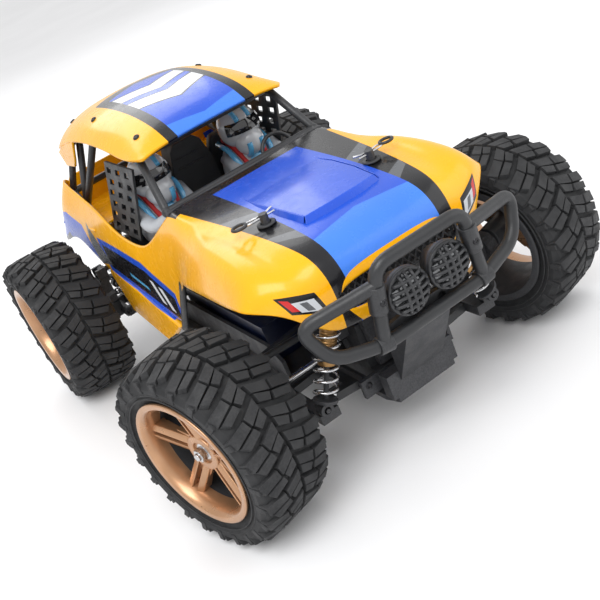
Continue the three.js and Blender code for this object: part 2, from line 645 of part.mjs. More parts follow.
function steeringRack() {
  const eye = (side) => join(
    box(side * 20 - 4, side * 20 + 4, RACK_Y - 5.6, RACK_Y - 3.2, RACK_Z - 3, RACK_Z + 3),
    box(side * 20 - 4, side * 20 + 4, RACK_Y + 3.2, RACK_Y + 5.6, RACK_Z - 3, RACK_Z + 3),
    barY(RACK_Y - 4, RACK_Y + 4, side * RACK_END, RACK_Z, PIN, PIN_SIDES),
  );
  return join(box(-17.5, 17.5, RACK_Y - 5.6, RACK_Y + 5.6, RACK_Z - 2, RACK_Z + 2), eye(1), eye(-1));
}

// Where the steering arm's end stands at rest, for the wheel on the given side.
function steerArmEnd(side) {
  const a = THREE.MathUtils.degToRad(STEER_REST);
  const x = side * 3;
  return [side * KINGPIN_X + x * Math.cos(a) - STEER_ARM * Math.sin(a),
    FRONT_AXLE + x * Math.sin(a) + STEER_ARM * Math.cos(a)];
}

function tieRod(side) {
  const [x, y] = steerArmEnd(side);
  const body = join(
    barY(RACK_Y - 2.6, RACK_Y + 2.6, side * RACK_END, RACK_Z, 3.2, 8),
    bar([side * (RACK_END + 1), RACK_Y, RACK_Z], [x, y, RACK_Z], 1.8, 6),
    barZ(RACK_Z - 3, RACK_Z + 2.4, x, y, 3.8, 8),
  );
  return cut(body, barY(RACK_Y - 5, RACK_Y + 5, side * RACK_END, RACK_Z, PIN + GAP, 8),
    barZ(RACK_Z - 5, RACK_Z, x, y, 2, 8));
}

// ---------------------------------------------------------------- bumpers
const HOOP_Y = TUBE - HALF_LENGTH;

function bothSides(half) {
  return [...[...half].reverse().map(mirrorPoint), ...half];
}

function frontBumper() {
  const sides = 8;
  const hoop = bothSides([[27.5, HOOP_Y, 131.4], [30.5, -205.5, 108], [33, -203, 89]]);
  const guard = bothSides([[33, -203, 88.5], [60, -199, 95], [69, -194.5, 116.5], [29.5, -208, 121.6]]);
  const sleeves = [1, -1].flatMap((s) => [
    bar([s * 29.2, -207.8, 122], [s * 30.8, -205.4, 107], TUBE + 1.2, sides),
    bar([s * 29, -203, 88.5], [s * 37, -202.4, 89.4], TUBE + 1.2, sides),
  ]);
  return join(bentTube(hoop, TUBE, 7, sides, 2), bentTube(guard, TUBE, 7, sides, 2), sleeves);
}

function bumperPlate() {
  const holes = [-1, 1].map((s) => circle(s * 8.5, 90.5, 2.6, 10));
  const board = plate('xz', [[-24, 83.6], [-28, 93], [-14, 95], [14, 95], [28, 93], [24, 83.6]],
    -198.6, -195.6, holes);
  const stem = plate('yz', [[-196, 94], [-196, 84], [-168.4, 42], [-168.4, 60], [-188, 90]], -15, 15);
  return join(board, stem);
}

function lamp(side) {
  const shell = latheX([[0, 0], [8, 0], [8, 12], [0, 12.6], [-10, 8], [-10, 0]], 20);
  const turn = new THREE.Matrix4().makeRotationZ(-Math.PI / 2);
  return shell.transform(turn.toArray()).translate([side * 12.9, -204, 108.6]);
}

function rearBumper() {
  const y = HALF_LENGTH - TUBE;
  return join(
    bentTube([[-34, 184, 96], [-38, y, 92], [-30, y, 62], [30, y, 62], [38, y, 92], [34, 184, 96]], TUBE, 8, 8, 2),
    bar([-37, y, 90], [37, y, 90], TUBE, 10),
    plate('yz', [[168.4, 30], [168.4, 50], [208, 64], [208, 60], [180, 30]], -13, 13),
  );
}

// ---------------------------------------------------------------- scene graph
const buggy = new THREE.Group();
buggy.name = 'rc_buggy';

function add(name, body, colour, finish = {}) {
  const material = new THREE.MeshStandardMaterial({
    color: colour, roughness: finish.roughness ?? 0.6, metalness: finish.metalness ?? 0, flatShading: true,
  });
  const mesh = new THREE.Mesh(geometryOf(body), material);
  mesh.name = name;
  buggy.add(mesh);
  return mesh;
}

const METAL = { roughness: 0.3, metalness: 0.9 };
const GLOSS = { roughness: 0.2 };

add('chassis_plate', chassisPlate(), COLOUR.plate);
add('front_gearbox', gearbox(FRONT_AXLE, 1), COLOUR.black);
add('rear_gearbox', gearbox(REAR_AXLE, -1), COLOUR.black);
add('front_shock_tower', shockTower(FRONT_AXLE, -1, 36, 151), COLOUR.black);
add('rear_shock_tower', shockTower(REAR_AXLE, 1, 30, 114), COLOUR.black);
add('motor', join(barY(56, 92, 23, 56, 16, 14), barY(50, 56.5, 23, 56, 3, 8)), COLOUR.steel, METAL);
add('battery_pack', box(-40, -6, -62, 58, 34, 60), COLOUR.pack);
add('receiver_box', join(box(4, 40, -40, 6, 34, 52), barZ(50, 62, 34, -34, 1.5, 8)), COLOUR.black);
add('steering_servo', join(box(5, 28, -88, -50, 34, 62), barZ(60, 68, 14, -80, 4, 12)), COLOUR.black);
add('centre_driveshaft', join(
  barY(FRONT_AXLE + 31, REAR_AXLE - 31, 0, DRIVE_Z, 2.2, 10),
  barY(FRONT_AXLE + 30.6, FRONT_AXLE + 40, 0, DRIVE_Z, 4, 10),
  barY(REAR_AXLE - 40, REAR_AXLE - 30.6, 0, DRIVE_Z, 4, 10),
), COLOUR.steel, METAL);

add('front_bumper', frontBumper(), COLOUR.black);
add('bumper_plate', bumperPlate(), COLOUR.black);
add('lamp_left', lamp(1), COLOUR.black);
add('lamp_right', lamp(-1), COLOUR.black);
add('rear_bumper', rearBumper(), COLOUR.black);

add('body_shell', bodyShell(), COLOUR.yellow, GLOSS);
add('grille_mesh', grilleMesh(), COLOUR.black);
add('roof_panel', roofPanel(), COLOUR.yellow, GLOSS);
add('roll_cage', rollCage(), COLOUR.black);
add('window_net_left', windowNet(), COLOUR.black);
add('window_net_right', mirrored(windowNet()), COLOUR.black);
add('cockpit_insert', cockpitInsert(), COLOUR.seat, GLOSS);
add('cockpit_steering_wheel', steeringWheelSmall(), COLOUR.black);

add('steering_rack', steeringRack(), COLOUR.black);
add('tie_rod_left', tieRod(1), COLOUR.black);
add('tie_rod_right', tieRod(-1), COLOUR.black);

const CORNERS = [
  { name: 'front_left', side: 1, y: FRONT_AXLE, facing: -1, front: true },
  { name: 'front_right', side: -1, y: FRONT_AXLE, facing: -1, front: true },
  { name: 'rear_left', side: 1, y: REAR_AXLE, facing: 1, front: false },
  { name: 'rear_right', side: -1, y: REAR_AXLE, facing: 1, front: false },
];

for (const { name, side, y, facing, front } of CORNERS) {
  add(`${name}_lower_arm`, onSide(lowerArm(y, facing), side), COLOUR.black);
  add(`${name}_upper_link`, onSide(upperLink(y), side), COLOUR.black);
  add(`${name}_shock_body`, onSide(placeShock(shockCylinder(), y, facing), side), COLOUR.gold, METAL);
  add(`${name}_shock_rod`, onSide(placeShock(shockRod(), y, facing), side), COLOUR.steel, METAL);
  add(`${name}_shock_spring`, onSide(placeShock(shockSpring(), y, facing), side), COLOUR.steel, METAL);

  const wheel = new THREE.Group();
  const kingpin = new THREE.Vector3(side * (front ? KINGPIN_X : 0), y, TYRE_RADIUS);
  wheel.position.copy(kingpin);
  wheel.rotation.z = front ? THREE.MathUtils.degToRad(STEER_REST) : 0;
  buggy.add(wheel);
  if (front) {
    add(`${name}_caster_block`, onSide(casterBlock(y), side), COLOUR.black);
    wheel.add(add(`${name}_knuckle`, onSide(knuckle(), side), COLOUR.black));
  } else {
    add(`${name}_hub_carrier`, onSide(rearCarrier(y), side), COLOUR.black);
  }
  const offset = side * (front ? WHEEL_X - KINGPIN_X : WHEEL_X);
  const parts = [add(`${name}_tyre`, onSide(tyre(), side), COLOUR.tyre, { roughness: 0.9 }),
    add(`${name}_rim`, onSide(rim(), side), COLOUR.bronze, METAL)];
  parts.forEach((mesh) => { mesh.position.x = offset; wheel.add(mesh); });
}

export default buggy;
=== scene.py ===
"""Looks of the RC desert buggy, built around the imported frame. Lengths are in mm until a mesh is made."""
import math

import bpy
from mathutils import Matrix, Vector


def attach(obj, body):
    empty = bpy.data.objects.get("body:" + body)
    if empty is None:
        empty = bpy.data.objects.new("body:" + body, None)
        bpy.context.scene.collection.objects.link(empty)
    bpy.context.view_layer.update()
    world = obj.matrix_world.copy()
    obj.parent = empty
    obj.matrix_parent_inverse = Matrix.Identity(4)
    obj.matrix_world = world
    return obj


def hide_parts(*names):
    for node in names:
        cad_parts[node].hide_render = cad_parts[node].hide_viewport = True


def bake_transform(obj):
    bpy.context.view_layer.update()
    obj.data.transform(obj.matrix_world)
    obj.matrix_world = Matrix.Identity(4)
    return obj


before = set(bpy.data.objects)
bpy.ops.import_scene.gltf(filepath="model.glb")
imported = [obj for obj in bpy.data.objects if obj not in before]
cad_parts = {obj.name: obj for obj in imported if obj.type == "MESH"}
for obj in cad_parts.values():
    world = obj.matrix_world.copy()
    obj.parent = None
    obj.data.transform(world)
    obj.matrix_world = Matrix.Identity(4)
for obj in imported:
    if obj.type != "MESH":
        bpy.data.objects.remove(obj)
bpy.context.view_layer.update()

MM = 0.001
AXLE_Y = 127.5
WHEEL_Z = 57.5
WHEEL_X = 112.0
KINGPIN_X = 80.7
STEER_REST = 16.0
SHOCK_TOP = (35.0, 102.0)
SHOCK_LOW = (60.0, 51.0)
SHOCK_Y = 35.0
FIGURE_X = 36.0
TUBE_CAGE = 2.6
TUBE_BUMPER = 3.6
HOOD_LINE = 31.0
HOOD_FRONT = -184.8
HOOD_REAR = -38.0
PAINT_COAT = 0.20
PAINT_SPECULAR = 0.32
WORLD_LIGHT = 0.88
FLOOR_HALF = 14.0
CORNERS = [("front_left", 1, -AXLE_Y, -1), ("front_right", -1, -AXLE_Y, -1),
           ("rear_left", 1, AXLE_Y, 1), ("rear_right", -1, AXLE_Y, 1)]

YELLOW = (0.90, 0.42, 0.004)
BLUE = (0.018, 0.085, 0.56)
LIGHT_BLUE = (0.05, 0.20, 0.74)
BLACK = (0.010, 0.010, 0.012)
GREY = (0.10, 0.105, 0.115)
SILVER = (0.55, 0.57, 0.60)
SKY = (0.10, 0.42, 0.72)
RED = (0.55, 0.02, 0.02)
WHITE = (0.72, 0.74, 0.76)


# ------------------------------------------------------------------ materials
class Nodes:
    """A short way to lay out a node material."""

    def __init__(self, name):
        self.material = bpy.data.materials.new(name)
        self.material.use_nodes = True
        self.tree = self.material.node_tree
        self.shader = self.tree.nodes["Principled BSDF"]
        self.place = self.add("ShaderNodeTexCoord").outputs["Object"]

    def add(self, kind, **values):
        node = self.tree.nodes.new(kind)
        for key, value in values.items():
            setattr(node, key, value)
        return node

    def feed(self, socket, value):
        if isinstance(value, bpy.types.NodeSocket):
            self.tree.links.new(value, socket)
        else:
            socket.default_value = value

    def math(self, operation, a, b=0.0):
        node = self.add("ShaderNodeMath", operation=operation)
        self.feed(node.inputs[0], a)
        self.feed(node.inputs[1], b)
        return node.outputs[0]

    def mix(self, factor, a, b):
        node = self.add("ShaderNodeMix", data_type="RGBA")
        self.feed(node.inputs["Factor"], factor)
        for socket, value in ((node.inputs["A"], a), (node.inputs["B"], b)):
            self.feed(socket, (*value, 1.0) if isinstance(value, tuple) and len(value) == 3 else value)
        return node.outputs["Result"]

    def noise(self, scale, detail=3.0):
        node = self.add("ShaderNodeTexNoise")
        self.feed(node.inputs["Vector"], self.place)
        self.feed(node.inputs["Scale"], scale)
        self.feed(node.inputs["Detail"], detail)
        return node.outputs["Fac"]

    def span(self, value, low, high, start=0.35, stop=0.65):
        node = self.add("ShaderNodeMapRange")
        for socket, number in zip(node.inputs[:5], (value, start, stop, low, high)):
            self.feed(socket, number)
        return node.outputs["Result"]

    def bump(self, height, strength, distance):
        node = self.add("ShaderNodeBump")
        self.feed(node.inputs["Height"], height)
        self.feed(node.inputs["Strength"], strength)
        self.feed(node.inputs["Distance"], distance)
        self.feed(self.shader.inputs["Normal"], node.outputs["Normal"])

    def inside(self, u, v, polygon):
        """1 inside a convex outline given anticlockwise in (u, v), in mm."""
        result = None
        for (u0, v0), (u1, v1) in zip(polygon, polygon[1:] + polygon[:1]):
            a, b = -(v1 - v0) * 1000, (u1 - u0) * 1000
            c = (v1 - v0) * u0 - (u1 - u0) * v0
            side = self.math("ADD", self.math("MULTIPLY", u, a), self.math("MULTIPLY", v, b))
            side = self.math("GREATER_THAN", self.math("ADD", side, c), 0.0)
            result = side if result is None else self.math("MULTIPLY", result, side)
        return result


def finish_material(n, colour, rough, grain, bump, wear=0.0, wear_colour=SILVER):
    """Gives a material colour variation, uneven roughness, surface grain and worn edges."""
    cloud = n.span(n.noise(45.0, 4.0), 0.0, 1.0)
    dark = n.mix(0.14, colour, (0.0, 0.0, 0.0))
    shown = n.mix(cloud, colour, dark)
    if wear:
        edge = n.span(n.add("ShaderNodeNewGeometry").outputs["Pointiness"], 0.0, 1.0, 0.52, 0.60)
        edge = n.math("MULTIPLY", edge, n.span(n.noise(900.0), 0.0, wear))
        shown = n.mix(edge, shown, wear_colour)
    n.feed(n.shader.inputs["Base Color"], shown)
    n.feed(n.shader.inputs["Roughness"], n.span(n.noise(120.0, 5.0), rough * 0.82, rough * 1.18))
    n.bump(n.noise(grain, 6.0), bump, 0.0004)


def plain(name, colour, rough, grain=1500.0, bump=0.12, metallic=0.0, coat=0.0, wear=0.0,
          wear_colour=SILVER):
    n = Nodes(name)
    n.feed(n.shader.inputs["Metallic"], metallic)
    n.feed(n.shader.inputs["Coat Weight"], coat)
    n.feed(n.shader.inputs["Coat Roughness"], 0.06)
    finish_material(n, colour, rough, grain, bump, wear, wear_colour)
    return n.material


HOOD_BAND = [(HOOD_LINE, HOOD_FRONT), (39.8, HOOD_FRONT), (40, -183), (49, -111), (57.5, -46),
             (58, HOOD_REAR), (HOOD_LINE, HOOD_REAR)]
HOOD_PAINT = [
    (HOOD_BAND, BLACK),
    ([(HOOD_LINE, -160), (43, -150), (44.5, -142), (HOOD_LINE, -150)], GREY),
    ([(HOOD_LINE, -122), (48, -108), (49.5, -98), (HOOD_LINE, -110)], GREY),
    ([(0, HOOD_FRONT), (HOOD_LINE, HOOD_FRONT), (HOOD_LINE, HOOD_REAR), (0, HOOD_REAR)], BLUE),
    ([(0, HOOD_FRONT), (HOOD_LINE, HOOD_FRONT), (HOOD_LINE, -166), (0, -160)], LIGHT_BLUE),
    ([(0, -54), (58, -56), (58, -36), (0, -36)], BLACK),
]
LAMP_PAINT = [
    ([(44.5, 109.5), (61.5, 116), (66, 127), (48, 122.5)], BLACK),
    ([(47, 112), (57, 115.5), (60, 122), (49.5, 120)], SILVER),
    ([(50.5, 114), (54, 115), (56.5, 120.4), (53, 119.8)], GREY),
    ([(57.5, 116.4), (61, 117.6), (64.4, 125.4), (60.6, 123.6)], RED),
]
SIDE_PAINT = [
    ([(-14, 62), (64, 76), (102, 83), (102, 111), (22, 106), (-20, 92)], BLUE),
    ([(-10, 68), (64, 81), (97, 87), (97, 106), (22, 100), (-15, 87)], BLACK),
    ([(-4, 73), (2, 74), (8, 91), (2, 90)], WHITE),
    ([(8, 76), (14, 77), (20, 94), (14, 93)], WHITE),
    ([(30, 82), (60, 87), (60, 90), (31, 85)], SKY),
    ([(92.6, 89), (127, 85.4), (113, 121.6)], GREY),
    ([(118, 90), (195, 84), (195, 119), (150, 125), (124, 118)], BLUE),
    ([(160, 100), (192, 86), (192, 94), (164, 106)], BLACK),
]
ROOF_PAINT = [
    ([(0, -30), (32, -30), (32, 92), (0, 104)], BLACK),
    ([(0, -30), (25, -30), (25, 78), (0, 90)], BLUE),
    ([(0, -30), (25, -30), (25, -13), (0, -18)], LIGHT_BLUE),
    ([(0, 8), (25, 22), (25, 44), (0, 30)], BLACK),
    ([(0, 10), (25, 24), (25, 42), (0, 28)], WHITE),
    ([(0, 38), (25, 52), (25, 74), (0, 60)], BLACK),
    ([(0, 40), (25, 54), (25, 72), (0, 58)], WHITE),
]


def painted(name, layers):
    """Glossy painted sheet: each layer is (first axis, second axis, guard, outlines and colours)."""
    n = Nodes(name)
    split = n.add("ShaderNodeSeparateXYZ")
    n.feed(split.inputs[0], n.place)
    axes = {"x": n.math("ABSOLUTE", split.outputs[0]), "y": split.outputs[1], "z": split.outputs[2]}
    colour = n.mix(0.0, YELLOW, YELLOW)
    for u, v, (guard_axis, sign, limit), outlines in layers:
        guard = n.math("GREATER_THAN" if sign > 0 else "LESS_THAN", axes[guard_axis], limit * MM)
        for outline, paint in outlines:
            mask = n.math("MULTIPLY", guard, n.inside(axes[u], axes[v], outline))
            colour = n.mix(mask, colour, paint)
    n.feed(n.shader.inputs["Coat Weight"], PAINT_COAT)
    n.feed(n.shader.inputs["Coat Roughness"], 0.07)
    n.feed(n.shader.inputs["Specular IOR Level"], PAINT_SPECULAR)
    cloud = n.span(n.noise(30.0, 4.0), 0.0, 0.08)
    n.feed(n.shader.inputs["Base Color"], n.mix(cloud, colour, (0.0, 0.0, 0.0)))
    n.feed(n.shader.inputs["Roughness"], n.span(n.noise(160.0, 5.0), 0.20, 0.30))
    n.bump(n.noise(40.0, 2.0), 0.05, 0.0005)
    return n.material


SHELL_PAINT = painted("shell_paint", [
    ("x", "y", ("y", -1, -36.0), HOOD_PAINT),
    ("x", "z", ("y", -1, -165.0), LAMP_PAINT),
    ("y", "z", ("x", 1, 62.0), SIDE_PAINT),
])
ROOF_PAINT_MATERIAL = painted("roof_paint", [("x", "y", ("z", 1, 170.0), ROOF_PAINT)])
NYLON = plain("satin_nylon", (0.017, 0.018, 0.020), 0.42, bump=0.25, wear=0.35,
              wear_colour=(0.09, 0.09, 0.10))
DARK = plain("matt_nylon", (0.024, 0.025, 0.028), 0.55, 1100.0, 0.35, wear=0.3,
             wear_colour=(0.1, 0.1, 0.11))
NET = plain("net_nylon", (0.016, 0.017, 0.019), 0.48, 1800.0, 0.3)
RUBBER = plain("tyre_rubber", (0.016, 0.0165, 0.018), 0.74, 2400.0, 0.45, wear=0.45,
               wear_colour=(0.055, 0.055, 0.058))
BRONZE = plain("bronze_lacquer", (0.50, 0.275, 0.145), 0.32, 2600.0, 0.06, metallic=0.7, coat=0.4)
STEEL = plain("bright_steel", (0.62, 0.62, 0.63), 0.24, 3000.0, 0.10, metallic=1.0, wear=0.2)
SCREW = plain("black_screw", (0.035, 0.035, 0.038), 0.32, 2600.0, 0.15, metallic=0.8)
ANODISED = plain("bronze_anodised", (0.33, 0.19, 0.075), 0.30, 2600.0, 0.10, metallic=0.9)
# Battery sleeve: a navy tint darkened almost to black as painted shade for the inside of the body, seen
# through the wheel well.
SLEEVE_PAINTED_SHADE = plain("battery_sleeve_painted_shade", (0.004, 0.008, 0.030), 0.34, 500.0, 0.35, coat=0.2)
GLASS = plain("lamp_lens", (0.13, 0.135, 0.14), 0.10, 300.0, 0.3, metallic=0.6, coat=1.0)
HELMET = plain("helmet_gloss", (0.56, 0.58, 0.61), 0.22, 900.0, 0.05, coat=0.8)
STRIPE = plain("helmet_stripe", SKY, 0.24, 900.0, 0.05, coat=0.8)
VISOR = plain("visor", (0.012, 0.012, 0.014), 0.08, 400.0, 0.03, coat=1.0)
SUIT = plain("suit_cloth", (0.44, 0.46, 0.49), 0.62, 700.0, 0.9)
HARNESS = plain("harness_web", RED, 0.66, 1700.0, 0.8)


# ------------------------------------------------------------------ geometry
class Shape:
    """Vertices in mm and faces with a material number; small shapes are added into bigger ones."""

    def __init__(self, points=(), faces=(), slot=0):
        self.points = [Vector(p) for p in points]
        self.faces = [(tuple(f), slot) for f in faces]

    def add(self, other, slot=None):
        start = len(self.points)
        self.points += other.points
        self.faces += [(tuple(i + start for i in f), s if slot is None else slot) for f, s in other.faces]
        return self

    def moved(self, matrix):
        result = Shape()
        flip = matrix.to_3x3().determinant() < 0
        result.points = [matrix @ p for p in self.points]
        result.faces = [(tuple(reversed(f)) if flip else f, s) for f, s in self.faces]
        return result


MIRROR = Matrix.Diagonal((-1, 1, 1, 1))


def on_side(shape, side):
    return shape if side > 0 else shape.moved(MIRROR)


def both(shape):
    return Shape().add(shape).add(shape.moved(MIRROR))


def join(*shapes):
    result = Shape()
    for shape in shapes:
        result.add(shape)
    return result


def shift(x, y, z):
    return Matrix.Translation((x, y, z))


def prism(outline, low, high, plane="xy"):
    """Outline with thickness. Planes: xy along z, xz along y, yz along x."""
    def at(u, v, w):
        return {"xy": (u, v, w), "xz": (u, w, v), "yz": (w, u, v)}[plane]
    n = len(outline)
    points = [at(u, v, low) for u, v in outline] + [at(u, v, high) for u, v in outline]
    faces = [tuple(range(n - 1, -1, -1)), tuple(range(n, 2 * n))]
    faces += [(i, (i + 1) % n, (i + 1) % n + n, i + n) for i in range(n)]
    return Shape(points, faces)


def block(x0, x1, y0, y1, z0, z1):
    return prism([(x0, y0), (x1, y0), (x1, y1), (x0, y1)], z0, z1)


def lathe(profile, sides=48):
    """Profile of (x, radius) turned about the X axis; radius 0 closes an end."""
    points, rings = [], []
    for x, r in profile:
        if r < 1e-6:
            rings.append([len(points)] * sides)
            points.append((x, 0, 0))
            continue
        rings.append(list(range(len(points), len(points) + sides)))
        points += [(x, r * math.cos(2 * math.pi * k / sides), r * math.sin(2 * math.pi * k / sides))
                   for k in range(sides)]
    faces = []
    for a, b in zip(rings, rings[1:]):
        for k in range(sides):
            quad = [a[k], a[(k + 1) % sides], b[(k + 1) % sides], b[k]]
            face = tuple(dict.fromkeys(quad))
            if len(face) > 2:
                faces.append(face)
    return Shape(points, faces)


def rounded(points, radius, steps=7, closed=False):
    """A path with its corners turned into arcs."""
    path = [Vector(p) for p in points]
    n = len(path)
    result = []
    for i, p in enumerate(path):
        if not closed and i in (0, n - 1):
            result.append(p)
            continue
        before, after = path[i - 1], path[(i + 1) % n]
        reach = min(radius, (before - p).length * 0.45, (after - p).length * 0.45)
        a, b = p + (before - p).normalized() * reach, p + (after - p).normalized() * reach
        result += [a.lerp(p, t).lerp(p.lerp(b, t), t) for t in (k / steps for k in range(steps + 1))]
    return result


def tube(points, radius, sides=16, closed=False):
    path = [Vector(p) for p in points]
    n = len(path)
    verts, normal = [], None
    for i, p in enumerate(path):
        ahead = path[(i + 1) % n] if closed or i < n - 1 else p
        behind = path[i - 1] if closed or i > 0 else p
        along = (ahead - behind).normalized()
        if normal is None:
            normal = along.orthogonal()
        normal = (normal - along * normal.dot(along)).normalized()
        across = along.cross(normal)
        verts += [p + (normal * math.cos(a) + across * math.sin(a)) * radius
                  for a in (2 * math.pi * k / sides for k in range(sides))]
    faces = []
    for i in range(n if closed else n - 1):
        for k in range(sides):
            a, b = i * sides, ((i + 1) % n) * sides
            faces.append((a + k, a + (k + 1) % sides, b + (k + 1) % sides, b + k))
    if not closed:
        faces += [tuple(range(sides - 1, -1, -1)), tuple(range((n - 1) * sides, n * sides))]
    return Shape(verts, faces)


def dome(centre, radii, segments=28, rings=18):
    points, faces = [], []
    for i in range(rings + 1):
        tilt = math.pi * i / rings
        for k in range(segments):
            turn = 2 * math.pi * k / segments
            points.append((centre[0] + radii[0] * math.sin(tilt) * math.cos(turn),
                           centre[1] + radii[1] * math.sin(tilt) * math.sin(turn),
                           centre[2] + radii[2] * math.cos(tilt)))
    for i in range(rings):
        for k in range(segments):
            a, b = i * segments, (i + 1) * segments
            faces.append((a + k, b + k, b + (k + 1) % segments, a + (k + 1) % segments))
    return Shape(points, faces)


def grid(rows, skip=()):
    """A sheet through rows of points, open where a point is None."""
    shape, ids = Shape(), {}
    for i, row in enumerate(rows):
        for j, p in enumerate(row):
            if p is not None:
                ids[i, j] = len(shape.points)
                shape.points.append(Vector(p))
    for i in range(len(rows) - 1):
        for j in range(len(rows[0]) - 1):
            quad = [ids.get(k) for k in ((i, j), (i, j + 1), (i + 1, j + 1), (i + 1, j))]
            if None not in quad and (i, j) not in skip:
                shape.faces.append((tuple(quad), 0))
    return shape


def full_row(half):
    return [(-x, y, z) for x, y, z in reversed(half[1:])] + list(half)


def piece(name, shape, materials, body, replaces=(), bevel=0.0, subdivide=0, wall=0.0):
    """Makes the mesh object, in metres, and says what it rides on and stands for."""
    mesh = bpy.data.meshes.new(name)
    mesh.from_pydata([p * MM for p in shape.points], [], [f for f, _ in shape.faces])
    for material in materials if isinstance(materials, (list, tuple)) else [materials]:
        mesh.materials.append(material)
    for polygon, (_, number) in zip(mesh.polygons, shape.faces):
        polygon.material_index = number
        polygon.use_smooth = True
    mesh.validate()
    obj = bpy.data.objects.new(name, mesh)
    bpy.context.scene.collection.objects.link(obj)
    finish_edges(obj, bevel, subdivide, wall)
    if body:
        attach(obj, body)
    if replaces:
        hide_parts(*replaces)
    return obj


def finish_edges(obj, bevel, subdivide=0, wall=0.0, angle=35.0):
    if subdivide:
        step = obj.modifiers.new("smooth", "SUBSURF")
        step.levels = step.render_levels = subdivide
    if wall:
        step = obj.modifiers.new("wall", "SOLIDIFY")
        step.thickness, step.offset = wall * MM, -1.0
        step.use_even_offset = True
    if bevel:
        step = obj.modifiers.new("edges", "BEVEL")
        step.width, step.segments = bevel * MM, 2
        step.limit_method, step.angle_limit = "ANGLE", math.radians(angle)
        step.harden_normals = False
    step = obj.modifiers.new("shading", "WEIGHTED_NORMAL")
    step.keep_sharp = True


def seat(obj, x, y):
    """Point in mm, sunk a little, and normal where a vertical line from above meets the finished surface."""
    sunk = 0.2
    bpy.context.view_layer.update()
    shown = obj.evaluated_get(bpy.context.evaluated_depsgraph_get())
    _, at, normal, _ = shown.ray_cast((x * MM, y * MM, 1.0), (0, 0, -1))
    return at / MM - normal * sunk, normal


def carry(node, material, bevel=0.35):
    """A CAD node that stays in view, with softened edges and a finished material."""
    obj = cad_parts[node]
    obj.data.materials.clear()
    obj.data.materials.append(material)
    finish_edges(obj, bevel, angle=28.0)


def screw(at, axis, radius=1.9, height=1.1):
    """Button head with a hexagon socket, facing along the axis."""
    head = lathe([(0, radius), (height * 0.55, radius), (height, radius * 0.72), (height, radius * 0.45),
                  (height * 0.35, radius * 0.42), (height * 0.35, 0)], 18)
    turn = Vector((1, 0, 0)).rotation_difference(Vector(axis)).to_matrix().to_4x4()
    return head.moved(Matrix.Translation(at) @ turn)


# ------------------------------------------------------------------ body
NOSE = [
    [(0, -187, 96), (20, -186.5, 96), (36, -184, 96.5), (45, -181.5, 97), (51, -179.5, 102),
     (56, -178.5, 107), (59, -177, 110)],
    [(0, -187.5, 103), (20, -187, 103), (38, -184.5, 104), (46, -182.5, 106), (52, -181, 109),
     (58, -178.5, 112), (63, -175.5, 114.5)],
    [(0, -187, 119.5), (20, -186.5, 119.5), (39, -184.5, 118), (47.5, -183, 115), (54, -180.5, 116.5),
     (61, -177.5, 118), (69, -172.5, 119.5)],
    [(0, -184.5, 126.5), (31, -184.5, 126.5), (40, -183, 126), (49, -182, 122), (57, -179, 123),
     (66, -174, 124), (76, -167, 122.5)],
]
HOOD = [
    [(0, -179, 134), (31.4, -179, 134), (41, -178, 134), (50, -177.5, 130), (60, -174.5, 131.5),
     (71, -169, 131), (80, -163, 124.5)],
    [(0, -169, 139.5), (31.4, -169, 139.5), (42.5, -169, 139), (52, -168, 135.5), (62, -165.5, 138),
     (73, -161, 136.5), (80.5, -156, 124.5)],
    [(0, -150, 142.5), (31.3, -150, 142.5), (44.5, -150, 142), (54, -150, 139.5), (62, -149, 142.5),
     (73, -147, 140.5), (80, -141, 122.5)],
    [(0, -128, 144.8), (31.3, -128, 144.8), (47, -128, 144.3), (55, -128, 142.5), (62, -127, 145),
     (72, -126, 142.5), (79, -120, 121)],
    [(0, -105, 146.5), (31.2, -105, 146.5), (50, -105, 146), (56.5, -104, 144.5), (62, -103, 145.5),
     (70.5, -101, 141.5), (77.5, -97, 118.5)],
    [(0, -80, 147.6), (31.1, -80, 147.6), (53, -80, 147.3), (57.5, -80, 146), (62, -79, 143),
     (68, -77, 134), (75, -73, 114.5)],
    [(0, -60, 148.2), (31, -60, 148.2), (54, -61, 148.6), (59, -61, 147), (62.5, -61, 141),
     (66, -60, 130), (71.5, -58, 110.5)],
    [(0, -41, 148), (31, -42, 148.5), (52, -45, 149), (58, -47, 149), (62, -46, 140),
     (65.5, -45, 128), (69, -46, 107)],
]
SIDE = [
    [(62.5, -22, 134), (65.5, -22, 126), (68, -24, 112), (69, -26, 84)],
    [(66, 4, 119), (69.5, 6, 107), (69.5, 2, 90), (68.5, -6, 63)],
    [(67, 30, 118), (70, 30, 106), (70, 30, 88), (69, 32, 69)],
    [(67, 58, 121), (70, 60, 108), (70, 60, 92), (69.5, 62, 74)],
    [(67, 76, 132), (70, 88, 114), (70.5, 85, 98), (70.5, 88, 79)],
    [(66, 100, 138), (70.5, 108, 123), (71.5, 108, 105), (71.5, 108, 82)],
    [(65.5, 125, 142.5), (71, 128, 127), (72.5, 130, 114), (72.5, 126, 92)],
    [(65, 146, 147), (72, 150, 131), (74, 150, 118), (73.5, 142, 106)],
    [(62, 158, 146), (71, 161, 131), (74.5, 170, 114), (74.5, 166, 101)],
    [(54, 168, 142), (64, 173, 128), (72, 180, 108), (75, 190, 91)],
]
SILL = [(-5, 63.4), (31, 70.6), (61, 75.7), (87, 80.8), (105, 84.6), (112, 79.5), (98, 48), (36, 39)]
TAIL = [(-53, 143), (53, 143), (65, 128), (74, 112), (-74, 112), (-65, 128)]
ROOF_Y = [-24, -14, 2, 30, 70, 105, 135, 152]
ROOF_Z = [181.5, 188, 194, 198.5, 200, 197.5, 191.5, 185]
ROOF_EDGE = [(0, 0), (20, 0.6), (31.5, 2.2), (42.5, 5.5), (51, 10.5), (56, 17)]


